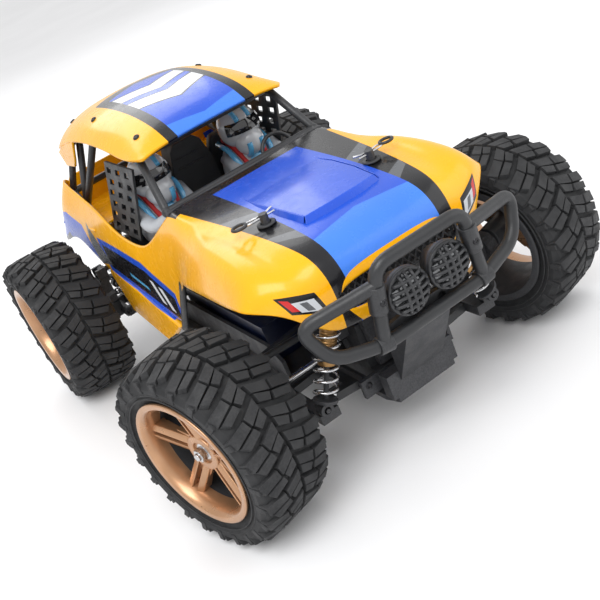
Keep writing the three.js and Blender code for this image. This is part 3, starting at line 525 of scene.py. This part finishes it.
def body_shell():
    rows = [full_row(half) for half in NOSE + HOOD]
    for half in SIDE:
        rows.append([(-x, y, z) for x, y, z in reversed(half)] + [None] * 5 + list(half))
    grille_opening = [(1, column) for column in (4, 5, 6, 7)]
    sheet = grid(rows, skip=grille_opening)
    piece("body_panels", sheet, SHELL_PAINT, "chassis", ["body_shell"], subdivide=3, wall=1.3)
    sill = prism(SILL, 66.6, 71.5, "yz")
    piece("body_sills", both(sill), SHELL_PAINT, "chassis", bevel=1.6)
    tail = join(prism(TAIL, 169.2, 171.2, "xz"), block(-71, 71, 98, 170, 116, 118))
    piece("body_tail", tail, SHELL_PAINT, "chassis", bevel=0.8)
    strut = tube([(67.6, -44, 106), (67.6, -2, 60)], 2.2)
    piece("door_struts", both(strut), NYLON, "chassis")
    cowl = block(-58, 58, -44.5, -40.5, 143, 149)
    piece("body_cowl", cowl, DARK, "chassis", bevel=1.2)
    scoop = grid([[(-25, -151, 141.6), (-12, -153, 141.6), (12, -153, 141.6), (25, -151, 141.6)],
                  [(-23, -149, 145.6), (-12, -151, 146.2), (12, -151, 146.2), (23, -149, 145.6)],
                  [(-25, -128, 147.0), (-12, -128, 147.6), (12, -128, 147.6), (25, -128, 147.0)],
                  [(-26, -104, 147.3), (-12, -104, 147.9), (12, -104, 147.9), (26, -104, 147.3)],
                  [(-25, -84, 147.0), (-12, -84, 147.0), (12, -84, 147.0), (25, -84, 147.0)]])
    edge = ((23, -149, 145.6), (25, -128, 147.0), (26, -104, 147.3), (25, -84, 147.0))
    for s in (-1, 1):
        top = [(s * x, y, z) for x, y, z in edge]
        foot = [(x + s * 2.2, y, 141.5 if y < -140 else 144.0) for x, y, _ in top]
        scoop.add(grid([top, foot] if s > 0 else [foot, top]))
    piece("hood_scoop", scoop, SHELL_PAINT, "chassis", bevel=0.6, wall=0.8)


def roof():
    rows = []
    for i, (y, z) in enumerate(zip(ROOF_Y, ROOF_Z)):
        share = {0: 0.18, 1: 0.55}.get(i, 1.0)
        narrow = 0.93 if i == 0 else 1.0
        rows.append(full_row([(x * narrow, y, z - drop * share) for x, drop in ROOF_EDGE]))
    skin = piece("roof_skin", grid(rows), ROOF_PAINT_MATERIAL, "chassis", ["roof_panel"], subdivide=3,
                 wall=1.8)
    leg = prism([(98, 181.0), (118, 163), (126, 157.5), (147, 156), (151.5, 167.4), (136, 173.7),
                 (118, 177.9)], 54.0, 56.2, "yz")
    piece("roof_legs", both(leg), ROOF_PAINT_MATERIAL, "chassis", bevel=1.0)
    heads = [screw(*seat(skin, x, y), 2.2, 1.3) for x, y in ((42.6, -3), (42.5, 70), (39.6, 136.8))]
    piece("roof_screws", both(join(*heads)), SCREW, "chassis")


def cage():
    a_base, a_top, b_top = (55.5, -37.4, 147), (48.5, -8, 176.5), (48.5, 70, 182.5)
    b_base, c_top, rear_top, rear_base = (61, 126, 127), (46, 116, 177.5), (47, 140, 171.5), (60, 150, 136)
    radius = TUBE_CAGE
    rails = [tube(p, radius) for p in ((a_base, a_top), (b_base, b_top), (b_base, c_top),
                                       (rear_base, rear_top), (b_base, rear_base))]
    rails.append(tube(rounded([a_top, b_top, c_top, rear_top], 6), radius))
    knots = [dome(p, (radius * 1.25,) * 3, 16, 10)
             for p in (a_base, a_top, b_top, b_base, c_top, rear_top, rear_base)]
    across = [tube([(-x, y, z), (x, y, z)], radius)
              for x, y, z in (a_top, b_top, rear_top, rear_base, a_base)]
    piece("cage_tubes", join(both(join(*rails, *knots)), *across), NYLON, "chassis", ["roll_cage"])


def grille():
    bars = Shape()
    half_width, low, high = 37.5, 104.8, 117.4
    for k in range(-9, 10):
        for lean in (-1, 1):
            x0, x1 = k * 4.6 - lean * 4.4, k * 4.6 + lean * 4.4
            if max(abs(x0), abs(x1)) < half_width:
                bars.add(tube([(x0, -181, low), (x1, -181, high)], 0.65, 8))
    rim = tube(rounded([(-half_width, -181, low), (half_width, -181, low), (half_width, -181, high),
                        (-half_width, -181, high)], 2, closed=True), 0.9, 8, closed=True)
    back = prism([(-37, low), (37, low), (38, high), (-38, high)], -177.8, -176.8, "xz")
    piece("grille_lattice", join(bars, rim), NYLON, "chassis", ["grille_mesh"])
    piece("grille_shadow", back, DARK, "chassis", bevel=0.3)


# ------------------------------------------------------------------ bumper and lamps
def bumpers():
    def loop(half):
        return [(-x, y, z) for x, y, z in reversed(half)] + list(half)
    radius = TUBE_BUMPER
    hoop = tube(rounded(loop([(27.5, -209.9, 131.4), (30.5, -205.5, 108), (33, -203, 89)]), 9), radius, 22)
    guard = tube(rounded(loop([(33, -203, 88.5), (60, -199, 95), (69, -194.5, 116.5),
                               (29.5, -208, 121.6)]), 9), radius, 22)
    sleeve = join(tube([(29.2, -207.8, 122), (30.8, -205.4, 107)], radius + 1.2, 22),
                  tube([(29, -203, 88.5), (37, -202.4, 89.4)], radius + 1.2, 22))
    piece("bumper_tubes", join(hoop, guard, both(sleeve)), NYLON, "chassis", ["front_bumper"], bevel=0.5)
    piece("bumper_bolts", both(screw((29.8, -210.6, 113), (0, -1, 0), 2.0)), SCREW, "chassis")
    rear = tube(rounded([(-34, 184, 96), (-38, 209.9, 92), (-30, 209.9, 62), (30, 209.9, 62),
                         (38, 209.9, 92), (34, 184, 96)], 9), radius, 20)
    stem = prism([(168.4, 30), (168.4, 50), (208, 64), (208, 60), (180, 30)], -13, 13, "yz")
    bar = tube([(-37, 209.9, 90), (37, 209.9, 90)], radius, 20)
    piece("rear_bumper_tubes", join(rear, bar, stem), NYLON, "chassis", ["rear_bumper"], bevel=0.6)


def lamp(name, side):
    housing = lathe([(-10, 0), (-10, 8), (-2, 11.6), (0, 12.6), (2.2, 12.6), (3.4, 11.8), (3.4, 10.7),
                     (1.4, 10.5), (1.4, 0)], 48)
    lens = lathe([(1.6, 10.3), (2.4, 9.0), (3.0, 5.0), (3.2, 0)], 40)
    cover = Shape()
    for offset in (-7.2, -3.6, 0.0, 3.6, 7.2):
        reach = math.sqrt(max(11.2 ** 2 - offset ** 2, 1.0))
        for swap in (False, True):
            if swap and abs(offset) > 4:
                continue
            path = []
            for k in range(13):
                t = -reach + 2 * reach * k / 12
                lift = 3.0 + 4.6 * math.sqrt(max(1 - (t * t + offset * offset) / 135.0, 0.0))
                path.append((lift, offset, t) if swap else (lift, t, offset))
            cover.add(tube(path, 0.95, 8))
    rim = tube([(3.2, 11.4 * math.cos(a), 11.4 * math.sin(a)) for a in
                (2 * math.pi * k / 40 for k in range(40))], 1.25, 10, closed=True)
    turn = shift(side * 12.9, -204, 108.6) @ Matrix.Rotation(-math.pi / 2, 4, "Z")
    shape = join(housing, cover, rim).moved(turn)
    piece(f"{name}_guard", shape, NYLON, "chassis", [name])
    piece(f"{name}_lens", lens.moved(turn), GLASS, "chassis")


# ------------------------------------------------------------------ cockpit
def figure(side):
    centre = (FIGURE_X, 30, 153)
    helmet = dome(centre, (14.6, 15.6, 15.2), 36, 24)
    chin_y, chin_z = 21.5, 143.5
    chin = dome((FIGURE_X, chin_y, chin_z), (10.4, 10.6, 10.6), 28, 18)
    rows = []
    for i in range(7):
        tilt = math.radians(66 + i * 5.0)
        rows.append([(centre[0] + 15.4 * math.sin(tilt) * math.sin(turn), centre[1] - 16.4 * math.sin(tilt) *
                      math.cos(turn), centre[2] + 16.0 * math.cos(tilt))
                     for turn in (math.radians(-62 + k * 124 / 12) for k in range(13))])
    visor = grid(rows)
    bands = [dome((FIGURE_X, 29.5, 125), (8.6, 13.6, 16), 24, 16)]
    for x in (-4.6, 4.6):
        for y, z, size, start, stop in ((centre[1], centre[2], 14.2, -64, 64),
                                        (chin_y, chin_z, 9.4, -170, -86)):
            path = [(FIGURE_X + x, y + size * math.sin(a), z + size * math.cos(a)) for a in
                    (math.radians(start + (stop - start) * k / 16) for k in range(17))]
            bands.append(tube(path, 1.9, 10))
    torso = dome((FIGURE_X, 36, 121), (19.6, 18.6, 26), 28, 18)
    arm = tube(rounded([(52, 34, 136), (54, 14, 124), (42, -12, 134)], 12), 5.0, 16)
    other = tube(rounded([(20, 34, 136), (20, 14, 124), (30, -12, 134)], 12), 4.6, 16)
    gloves = join(*[dome((x, -13, 134), (4.6, 4.8, 4.6), 16, 12) for x in (42, 30)])
    stripes = [tube(rounded([(FIGURE_X + x, 45, 144), (FIGURE_X + x * 1.08, 27, 141.4),
                             (FIGURE_X + x * 0.9, 16.8, 124)], 8), 2.0, 10) for x in (-13.4, 13.4)]
    straps = join(*[tube(rounded([(FIGURE_X + x, 44, 145), (FIGURE_X + x * 1.1, 28, 142),
                                  (FIGURE_X + x * 0.7, 16.4, 122)], 8), 1.9, 8) for x in (-9, 9)])
    seat_base = 96
    chair = prism([(17, 0), (55, 0), (55, 42), (49, 54), (23, 54), (17, 42)], 52, 61, "xz")
    chair = chair.moved(shift(0, 0, seat_base))
    name = "left" if side > 0 else "right"
    parts = [("helmet", join(helmet, chin), HELMET, 0), ("visor", visor, VISOR, 0),
             ("helmet_bands", join(*bands, *stripes), STRIPE, 0), ("suit", join(torso, arm, other), SUIT, 0),
             ("gloves", gloves, DARK, 0), ("harness", straps, HARNESS, 0), ("seat", chair, DARK, 2.4)]
    for label, shape, material, bevel in parts:
        piece(f"{name}_{label}", on_side(shape, side), material, "chassis", bevel=bevel,
              replaces=["cockpit_insert"] if label == "helmet" and side > 0 else ())


def cockpit():
    figure(1)
    figure(-1)
    tray = join(block(-60, 60, -38, 92, 100, 102), block(-10, 10, -34, 50, 101, 117),
                prism([(-38, 101), (-38, 140), (-28, 140), (-14, 122), (-14, 101)], -56, 56, "yz"))
    piece("cockpit_tray", tray, DARK, "chassis", bevel=1.6)
    headrest = prism([(-16, 96), (16, 96), (16.5, 138), (12, 155), (8, 159), (-8, 159), (-12, 155),
                      (-16.5, 138)], 44, 61, "xz")
    ribs = join(*[block(-11.5, 11.5, 42.8, 44.4, z, z + 1.4) for z in (141, 148)])
    bulkhead = block(-58, 58, 62, 64, 101, 137)
    piece("cockpit_console", join(headrest, ribs, bulkhead), DARK, "chassis", bevel=1.0)
    ring = [(0, 11 * math.cos(a), 11 * math.sin(a)) for a in (2 * math.pi * k / 40 for k in range(40))]
    wheel = join(tube(ring, 1.25, 12, closed=True), tube([(0, -10.6, 0), (0, 10.6, 0)], 1.0, 10),
                 tube([(0, 0, 0), (0, 0, -10.6)], 1.0, 10), tube([(-1, 0, 0), (9, 0, 0)], 2.4, 14))
    turn = shift(FIGURE_X, -18, 140) @ Matrix.Rotation(-math.pi / 2, 4, "Z") @ Matrix.Rotation(-0.35, 4, "Y")
    piece("cockpit_wheel", wheel.moved(turn), NYLON, "chassis", ["cockpit_steering_wheel"])


def body_clips():
    """The hood's posts, spring clips and pull loops."""
    clip, pull, collar = Shape(), Shape(), Shape()
    z = 149.2
    path = [(-7, 0, 0), (8, 0, 0), (11, 1.6, 0), (11, 3.6, 0), (8, 4.6, 0), (2, 2.9, 0), (0, 4.2, 0),
            (-2, 2.9, 0), (-8, 4.4, 1)]
    clip.add(tube(rounded(path, 2.0, 5), 0.62, 10).moved(shift(36, -129, z)))
    loop = [(36 + 14 + 4 * math.cos(a), -126.5 + 3.4 * math.sin(a), z + 0.6) for a in
            (2 * math.pi * k / 24 for k in range(24))]
    pull.add(tube(loop, 0.9, 10, closed=True))
    collar.add(lathe([(0, 3.2), (0, 5.4), (0.8, 5.4), (1.2, 4.8), (1.2, 3.2)], 28)
               .moved(shift(36, -129, 144.6) @ Matrix.Rotation(-math.pi / 2, 4, "Y")))
    piece("clips", both(clip), STEEL, "chassis")
    piece("clip_pulls", both(pull), NYLON, "chassis")
    piece("post_collars", both(collar), DARK, "chassis")


# ------------------------------------------------------------------ wheels
TREAD = [
    [(0.02, -0.8), (0.40, -1.2), (0.70, -10.2), (0.34, -11.6)],
    [(0.44, -1.4), (0.78, -1.0), (0.98, -7.0), (0.74, -9.2)],
    [(0.38, -12.8), (0.72, -11.6), (0.98, -22.6), (0.56, -24.2)],
    [(0.78, -10.6), (1.04, -9.0), (1.26, -18.6), (1.02, -21.4)],
]


def tread_block(outline, pitch, start, low, high):
    """One tread block wrapped round the tyre; its shoulders drop away at the tyre's edges."""
    n = len(outline)
    points = []
    for grow, base in ((1.12, low), (1.0, high)):
        cu = sum(u for u, _ in outline) / n
        cx = sum(x for _, x in outline) / n
        for u, x in outline:
            angle = (start + cu + (u - cu) * grow) * pitch
            across = cx + (x - cx) * grow
            fall = max(0.0, abs(across) - 15.5) ** 2 * 0.048
            points.append((across, (base - fall) * math.cos(angle), (base - fall) * math.sin(angle)))
    faces = [tuple(range(n - 1, -1, -1)), tuple(range(n, 2 * n))]
    faces += [(i, (i + 1) % n, (i + 1) % n + n, i + n) for i in range(n)]
    return Shape(points, faces)


def tyre_shape():
    half = [(16, 37.6), (21.2, 38.2), (21.8, 40.8), (24.2, 45), (24.6, 49), (22.4, 52.4), (16, 54)]
    carcass = lathe([(-x, r) for x, r in half] + [(0, 54.4)] + half[::-1], 88)
    shape = Shape().add(carcass)
    count, tread_foot, tread_top = 24, 53.2, 57.4
    pitch = 2 * math.pi / count
    for k in range(count):
        for outline in TREAD:
            shape.add(tread_block(outline, pitch, k, tread_foot, tread_top))
            shape.add(tread_block([(u, -x) for u, x in outline], pitch, k + 0.5, tread_foot, tread_top))
        for x in (-1, 1):
            a = (k + (0.8 if x < 0 else 1.3)) * pitch
            lug = block(22.6, 24.9, -1.7, 1.7, 46.4, 53.2)
            if x < 0:
                lug = lug.moved(MIRROR)
            shape.add(lug.moved(Matrix.Rotation(a - math.pi / 2, 4, "X")))
    for side in (-1, 1):
        for radius in (42.8, 45.4):
            shape.add(tube([(side * 24.0, radius * math.cos(t), radius * math.sin(t)) for t in
                            (2 * math.pi * k / 80 for k in range(80))], 0.55, 6, closed=True))
    return shape


def rim_shape():
    barrel = lathe([(-23.6, 34.6), (-23.9, 37.4), (-23.2, 39.4), (-21.6, 38.6), (-20.6, 36.8),
                    (20.6, 36.8), (21.6, 38.6), (23.2, 39.4), (24.0, 38.4), (23.7, 35.6), (21.0, 33.4),
                    (17.0, 33.0), (12.0, 32.4), (-20.0, 34.0), (-23.6, 34.6)], 88)
    shape = Shape().add(barrel)

    def at(radius, across, turn):
        return (radius * math.cos(turn) - across * math.sin(turn),
                radius * math.sin(turn) + across * math.cos(turn))

    star, spokes = [], 5
    for i in range(spokes):
        turn = 2 * math.pi * i / spokes + math.pi / 2
        star += [at(19.5, -5.6, turn), at(19.5, 5.6, turn), at(11.8, 0, turn + math.pi / spokes)]
        for side in (-1, 1):
            inner, outer = side * 1.5, side * 5.4
            outline = [at(9, inner, turn), at(33.8, inner, turn), at(33.8, outer, turn), at(9, outer, turn)]
            bar = prism(outline if side > 0 else outline[::-1], 9.4, 15.6, "yz")
            for index, point in enumerate(bar.points):
                far = math.hypot(point.y, point.z) > 30
                outer_edge = index % 4 in ((2, 3) if side > 0 else (1, 0))
                if index >= 4:
                    point.x += (2.6 if far else -1.4) - (1.5 if outer_edge else 0.0)
            shape.add(bar)
        groove = [at(9, -1.7, turn), at(33.6, -1.7, turn), at(33.6, 1.7, turn), at(9, 1.7, turn)]
        shape.add(prism(groove, 9.2, 11.6, "yz"))
    shape.add(prism(star, 8.6, 12.6, "yz"))
    shape.add(lathe([(-15, 0), (-15, 8), (8, 9.0), (12.4, 11.4), (14.2, 10.8), (14.2, 6.6), (12.0, 6.2),
                     (12.0, 0)], 44))
    dark_below = 5.0
    shape.faces = [(f, int(sum(shape.points[i].x for i in f) / len(f) < dark_below)) for f, _ in shape.faces]
    return shape


def wheels():
    tyre, rim = tyre_shape(), rim_shape()
    hexagon = [(4.0 * math.cos(a), 4.0 * math.sin(a)) for a in (math.pi * k / 3 for k in range(6))]
    nut = join(lathe([(11.8, 0), (11.8, 5.4), (12.8, 5.4), (13.2, 4.2), (13.2, 0)], 32),
               prism(hexagon, 12.8, 17.0, "yz"),
               lathe([(16.6, 2.4), (18.2, 2.2), (18.5, 1.6), (18.5, 0)], 20))
    axle = lathe([(-30, 0), (-30, 2.5), (-12, 2.5), (-12, 0)], 24)
    for name, side, y, _ in CORNERS:
        front = name.startswith("front")
        turn = math.radians(STEER_REST) if front else 0.0
        pivot = side * KINGPIN_X if front else 0.0
        offset = side * (WHEEL_X - KINGPIN_X) if front else side * WHEEL_X
        place = shift(pivot, y, WHEEL_Z) @ Matrix.Rotation(turn, 4, "Z") @ shift(offset, 0, 0)
        if side < 0:
            place = place @ MIRROR
        body = f"{name}_wheel"
        piece(f"{name}_tyre_tread", tyre.moved(place), RUBBER, body, [f"{name}_tyre"], bevel=0.35)
        piece(f"{name}_rim_spokes", rim.moved(place), [BRONZE, DARK], body, [f"{name}_rim"], bevel=0.8)
        piece(f"{name}_nut", nut.moved(place), STEEL, body, bevel=0.3)
        piece(f"{name}_stub", axle.moved(place), STEEL, body, bevel=0.3)


# ------------------------------------------------------------------ suspension
SHOCK_REACH = math.hypot(SHOCK_LOW[0] - SHOCK_TOP[0], SHOCK_LOW[1] - SHOCK_TOP[1])


def shocks():
    lean = math.atan2(SHOCK_LOW[0] - SHOCK_TOP[0], SHOCK_TOP[1] - SHOCK_LOW[1])
    along = Matrix.Rotation(math.pi / 2, 4, "Y")
    cylinder = [(2, 0), (2, 3.9), (8.2, 4.6), (8.4, 7.4), (10.2, 7.4), (10.4, 4.9)]
    cylinder += [(10.6 + k * 0.8, 4.9 if k % 2 else 4.5) for k in range(24)]
    cylinder += [(30.2, 5.1), (32, 5.1), (32, 1.8), (26, 1.8), (26, 0)]
    eye = lathe([(-2.8, 2.1), (-2.8, 4.0), (2.8, 4.0), (2.8, 2.1), (-2.8, 2.1)], 28)
    eye = eye.moved(Matrix.Rotation(math.pi / 2, 4, "Z"))
    body = join(lathe(cylinder, 36).moved(along), eye)
    reach = SHOCK_REACH
    rod = join(lathe([(24, 0), (24, 1.4), (reach - 6, 1.4), (reach - 6, 6.8), (reach - 4.2, 6.8),
                      (reach - 4, 3.0), (reach - 2.6, 2.6), (reach - 2.6, 0)], 32).moved(along))
    rod.add(eye.moved(shift(0, 0, -reach)), 1)
    rod.faces = [(f, 1 if min(rod.points[i].z for i in f) < -reach + 6.2 else s) for f, s in rod.faces]
    top, bottom, turns = -10.6, -reach + 6.8, 6.5
    steps, coil_radius, wire = 180, 6.3, 0.8
    coil = tube([(coil_radius * math.cos(2 * math.pi * turns * k / steps),
                  coil_radius * math.sin(2 * math.pi * turns * k / steps),
                  top + (bottom - top) * k / steps) for k in range(steps + 1)], wire, 8)
    for name, side, y, facing in CORNERS:
        place = shift(SHOCK_TOP[0], y + facing * SHOCK_Y, SHOCK_TOP[1]) @ Matrix.Rotation(-lean, 4, "Y")
        if side < 0:
            place = MIRROR @ place
        piece(f"{name}_damper", body.moved(place), ANODISED, f"{name}_shock_body", [f"{name}_shock_body"],
              bevel=0.2)
        piece(f"{name}_piston", rod.moved(place), [STEEL, DARK], f"{name}_shock_rod", [f"{name}_shock_rod"],
              bevel=0.2)
        spring = piece(f"{name}_coil", coil.moved(place), STEEL, None, [f"{name}_shock_spring"])
        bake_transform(spring)


def suspension():
    for name, side, y, facing in CORNERS:
        front = name.startswith("front")
        hub = ("caster_block", "knuckle") if front else ("hub_carrier",)
        for node in ("lower_arm", "upper_link") + hub:
            carry(f"{name}_{node}", NYLON, 0.5)
        ribs = join(*[block(37, 56, y + s - 0.7, y + s + 0.7, 41, 46.4) for s in (-14.4, 14.4)])
        piece(f"{name}_arm_ribs", on_side(ribs, side), NYLON, f"{name}_lower_arm", bevel=0.3)
        pins = join(*[screw((28, y + s * 26.4, 42), (0, s, 0), 2.2) for s in (-1, 1)])
        piece(f"{name}_arm_screws", on_side(pins, side), SCREW, "chassis")
        outer = join(*[screw((72, y + s * 16.2, 44), (0, s, 0), 2.0) for s in (-1, 1)])
        piece(f"{name}_hub_screws", on_side(outer, side), SCREW, f"{name}_lower_arm")
        top = screw((SHOCK_TOP[0], y + facing * 39.0, SHOCK_TOP[1]), (0, facing, 0), 2.4, 1.6)
        piece(f"{name}_shock_screw", on_side(top, side), STEEL, "chassis")
        ball_in, ball_out, ball = 29.6, 69.6, (2.9, 2.9, 2.9)
        shaft = join(tube([(ball_in, y, WHEEL_Z), (ball_out, y, WHEEL_Z)], 1.7, 14),
                     dome((ball_in, y, WHEEL_Z), ball, 18, 12), dome((ball_out, y, WHEEL_Z), ball, 18, 12))
        piece(f"{name}_dogbone", on_side(shaft, side), STEEL, f"{name}_lower_arm")
        cup = lathe([(22.9, 0), (22.9, 5.2), (32.4, 5.2), (33, 4.8), (33, 3.9), (24, 3.9), (24, 0)], 36)
        piece(f"{name}_drive_cup", on_side(cup.moved(shift(0, y, WHEEL_Z)), side), SCREW, "chassis")


def chassis_parts():
    for node in ("chassis_plate", "front_gearbox", "rear_gearbox", "front_shock_tower", "rear_shock_tower",
                 "receiver_box", "steering_servo", "bumper_plate"):
        carry(node, DARK, 0.6)
    for node in ("window_net_left", "window_net_right"):
        carry(node, NET, 0.3)
    for node in ("steering_rack", "tie_rod_left", "tie_rod_right"):
        carry(node, NYLON, 0.4)
    carry("motor", STEEL, 0.8)
    # The battery takes the sleeve colour, darkened as painted shade under the shell.
    carry("battery_pack", SLEEVE_PAINTED_SHADE, 2.5)
    carry("centre_driveshaft", STEEL, 0.4)
    tower = [screw((x, -AXLE_Y - 26.7, z), (0, -1, 0), 2.1) for x, z in ((12, 60), (14, 88))]
    rear = [screw((x, AXLE_Y + 26.7, z), (0, 1, 0), 2.1) for x, z in ((12, 60), (14, 88))]
    under = [screw((14, y, 30), (0, 0, -1), 2.3) for y in (-150, -110, 110, 150)]
    piece("tower_screws", both(join(*tower, *rear)), SCREW, "chassis")
    piece("under_screws", both(join(*under)), SCREW, "chassis")


# ------------------------------------------------------------------ stage
def stage():
    floor = bpy.data.meshes.new("floor")
    h = FLOOR_HALF
    floor.from_pydata([(-h, -h, 0), (h, -h, 0), (h, h, 0), (-h, h, 0)], [], [(0, 1, 2, 3)])
    obj = bpy.data.objects.new("floor", floor)
    bpy.context.scene.collection.objects.link(obj)
    n = Nodes("pale_floor")
    cloud = n.span(n.noise(4.0), 0.0, 1.0)
    n.feed(n.shader.inputs["Base Color"], n.mix(cloud, (0.84, 0.84, 0.85), (0.87, 0.87, 0.88)))
    n.feed(n.shader.inputs["Roughness"], 0.62)
    obj.data.materials.append(n.material)
    world = bpy.data.worlds.new("studio")
    world.use_nodes = True
    world.node_tree.nodes["Background"].inputs["Color"].default_value = (1.0, 1.0, 1.0, 1.0)
    world.node_tree.nodes["Background"].inputs["Strength"].default_value = WORLD_LIGHT
    bpy.context.scene.world = world
    bpy.context.scene.view_settings.view_transform = "Standard"
    for name, at, energy, size in (("key", (-0.7, -0.9, 1.5), 21.0, 1.1),
                                   ("fill", (1.2, -0.8, 0.9), 7.0, 1.4),
                                   ("rim", (0.2, 1.3, 1.1), 7.0, 1.0)):
        light = bpy.data.lights.new(name, "AREA")
        light.energy, light.size = energy, size
        lamp_obj = bpy.data.objects.new(name, light)
        lamp_obj.location = at
        lamp_obj.rotation_euler = (-Vector(at) + Vector((0, 0, 0.08))).to_track_quat("-Z", "Y").to_euler()
        bpy.context.scene.collection.objects.link(lamp_obj)


def camera():
    """A tilted view from the car's front right (-X, -Y); the numbers fit the wheels and the body."""
    azimuth, elevation, roll = (math.radians(v) for v in (-22.05, 24.76, -22.98))
    back = Vector((math.sin(azimuth) * math.cos(elevation), -math.cos(azimuth) * math.cos(elevation),
                   math.sin(elevation)))
    right = (-back).cross(Vector((0, 0, 1))).normalized()
    up = right.cross(-back)
    x = right * math.cos(roll) + up * math.sin(roll)
    y = up * math.cos(roll) - right * math.sin(roll)
    data = bpy.data.cameras.new("camera")
    data.sensor_width, data.lens = 36.0, 59.06
    data.shift_x, data.shift_y = -0.0020, -0.0219
    data.clip_start, data.clip_end = 0.01, 20.0
    obj = bpy.data.objects.new("camera", data)
    matrix = Matrix((x, y, back)).transposed().to_4x4()
    matrix.translation = Vector((-214.5, -579.9, 327.1)) * MM
    obj.matrix_world = matrix
    bpy.context.scene.collection.objects.link(obj)
    bpy.context.scene.camera = obj


body_shell()
roof()
cage()
grille()
bumpers()
lamp("lamp_left", 1)
lamp("lamp_right", -1)
cockpit()
body_clips()
wheels()
shocks()
suspension()
chassis_parts()
stage()
camera()
